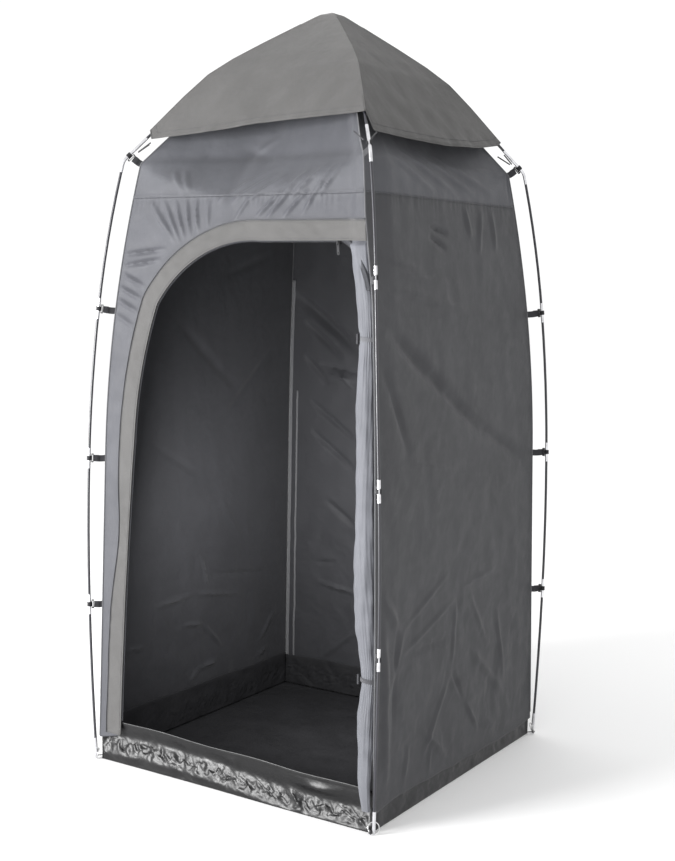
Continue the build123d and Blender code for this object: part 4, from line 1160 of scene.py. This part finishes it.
def fly_face(face):
    """One gore of the fly: sagging a little between its ridges and pulled into a curve at its edge."""
    u, down = shares(*FLY_GRID)
    down = down**0.9
    z = FLY_TOP[0][1] + (follow(u, FLY_EDGE[face]) - FLY_TOP[0][1]) * down
    half = fly_half(z)
    low = smooth(down)
    sag = 0.012 * (1 - u**2) * np.sin(np.clip(down * 1.15, 0, 1) * math.pi * 0.8)
    seed = 100 + FACES[face]
    a = u * half
    lift = 0.0014 * ripple(a, z, 0.16, seed, stretch=0.8) * (1 - u**4) * low
    lift += 0.0008 * crumple(a, z, 0.12, seed + 9) * (1 - u**4) * low
    tug = np.sin(u * 40) * 0.0006 * smooth((down - 0.86) / 0.14)
    away = half - sag + lift + tug
    lean = FLY_LEAN * np.clip((FLY_LEAN_FROM - z) / (FLY_LEAN_FROM - FLY_LEAN_FULL), 0, 1)
    return leaned(face, a, away, z, u, FLY_LEAN_START, lean)


def roof_fly():
    """The whole fly as one sheet, with a folded hem along its lower edge."""
    parts = []
    for face in FACES:
        points = fly_face(face)
        hem = points[-1] * (0.995, 0.995, 1) + (0, 0, 0.004)
        points = np.concatenate([points, hem[None]])
        parts.append((points, [f[::-1] for f in grid_faces(*points.shape[:2])]))
    return welded(*join(parts), near=2e-5)


fly = make_piece("roof_fly_cloth", *roof_fly(), "fly", "fly_cloth", fly_cloth, ["roof_fly"], thick=0.0007)

fly_seams, fly_stitches = [], []
for face in FACES:
    points = fly_face(face)
    hem_line = points[-5]
    out = unit(hem_line * (1, 1, 0))
    fly_stitches += sewn_line(hem_line + out * 0.0009, out)
    fly_seams.append(tube_along(evenly(points[6:, 0], 0.008), 0.0013, sides=6))
make_piece("fly_hem_stitches", *join(fly_stitches), "fly", "fly_cloth", stitch_thread)
make_piece("fly_ridge_seams", *join(fly_seams), "fly", "fly_cloth", fly_cloth)

# ---------------------------------------------------------------- floor, light and camera
FLOOR_SIZE = 400.0
SKY_STRENGTH = 1.06
bpy.ops.mesh.primitive_plane_add(size=FLOOR_SIZE, location=(0, 0, -0.0005))
floor = bpy.context.object
floor.name = "studio_floor"
floor_paint = Nodes("studio_paint")
floor_paint.ramp(floor_paint.noise(1.5), "Base Color", (0.3, 0.955), (0.7, 0.97))
floor.data.materials.append(floor_paint.finish(Roughness=0.9))

world = bpy.data.worlds.new("studio_world")
bpy.context.scene.world = world
world.use_nodes = True
sky = world.node_tree.nodes["Background"].inputs
sky["Color"].default_value = (1.0, 1.0, 1.0, 1.0)
sky["Strength"].default_value = SKY_STRENGTH


def area_light(name, place, aim, size, power):
    """A soft square studio light."""
    data = bpy.data.lights.new(name, "AREA")
    data.size = size
    data.energy = power
    lamp = bpy.data.objects.new(name, data)
    bpy.context.scene.collection.objects.link(lamp)
    lamp.location = place
    lamp.rotation_mode = "QUATERNION"
    lamp.rotation_quaternion = (Vector(aim) - Vector(place)).to_track_quat("-Z", "Y")
    lamp.visible_camera = False


area_light("key", (-3.2, -6.0, 1.5), (0, 0, 1.1), 2.4, 1010)
# Stands for the daylight that comes through the cloth
area_light("cabin_fill", (0.04, -0.34, 0.80), (0.0, 0.60, 0.62), 0.30, 10.0)

CAMERA_PLACE = Vector((2.2868, -3.4621, 1.4833))
CAMERA_YAW = math.radians(32.967)
CAMERA_PITCH = math.radians(-6.503)
CAMERA_ROLL = math.radians(0.847)
FOCAL_PIXELS = 1346.5
IMAGE_HEIGHT = 861
SENSOR = 36.0
camera_data = bpy.data.cameras.new("camera")
camera_data.sensor_width = SENSOR
camera_data.sensor_fit = "AUTO"
camera_data.lens = FOCAL_PIXELS / IMAGE_HEIGHT * SENSOR
camera = bpy.data.objects.new("camera", camera_data)
bpy.context.scene.collection.objects.link(camera)
ahead = Vector((
    -math.sin(CAMERA_YAW) * math.cos(CAMERA_PITCH),
    math.cos(CAMERA_YAW) * math.cos(CAMERA_PITCH),
    math.sin(CAMERA_PITCH),
))
right = Vector((math.cos(CAMERA_YAW), math.sin(CAMERA_YAW), 0))
up = right.cross(ahead)
rolled_right = right * math.cos(CAMERA_ROLL) + up * math.sin(CAMERA_ROLL)
rolled_up = up * math.cos(CAMERA_ROLL) - right * math.sin(CAMERA_ROLL)
turn = Matrix((rolled_right, rolled_up, -ahead)).transposed()
camera.matrix_world = Matrix.Translation(CAMERA_PLACE) @ turn.to_4x4()
bpy.context.scene.camera = camera
bpy.context.scene.view_settings.view_transform = "Standard"
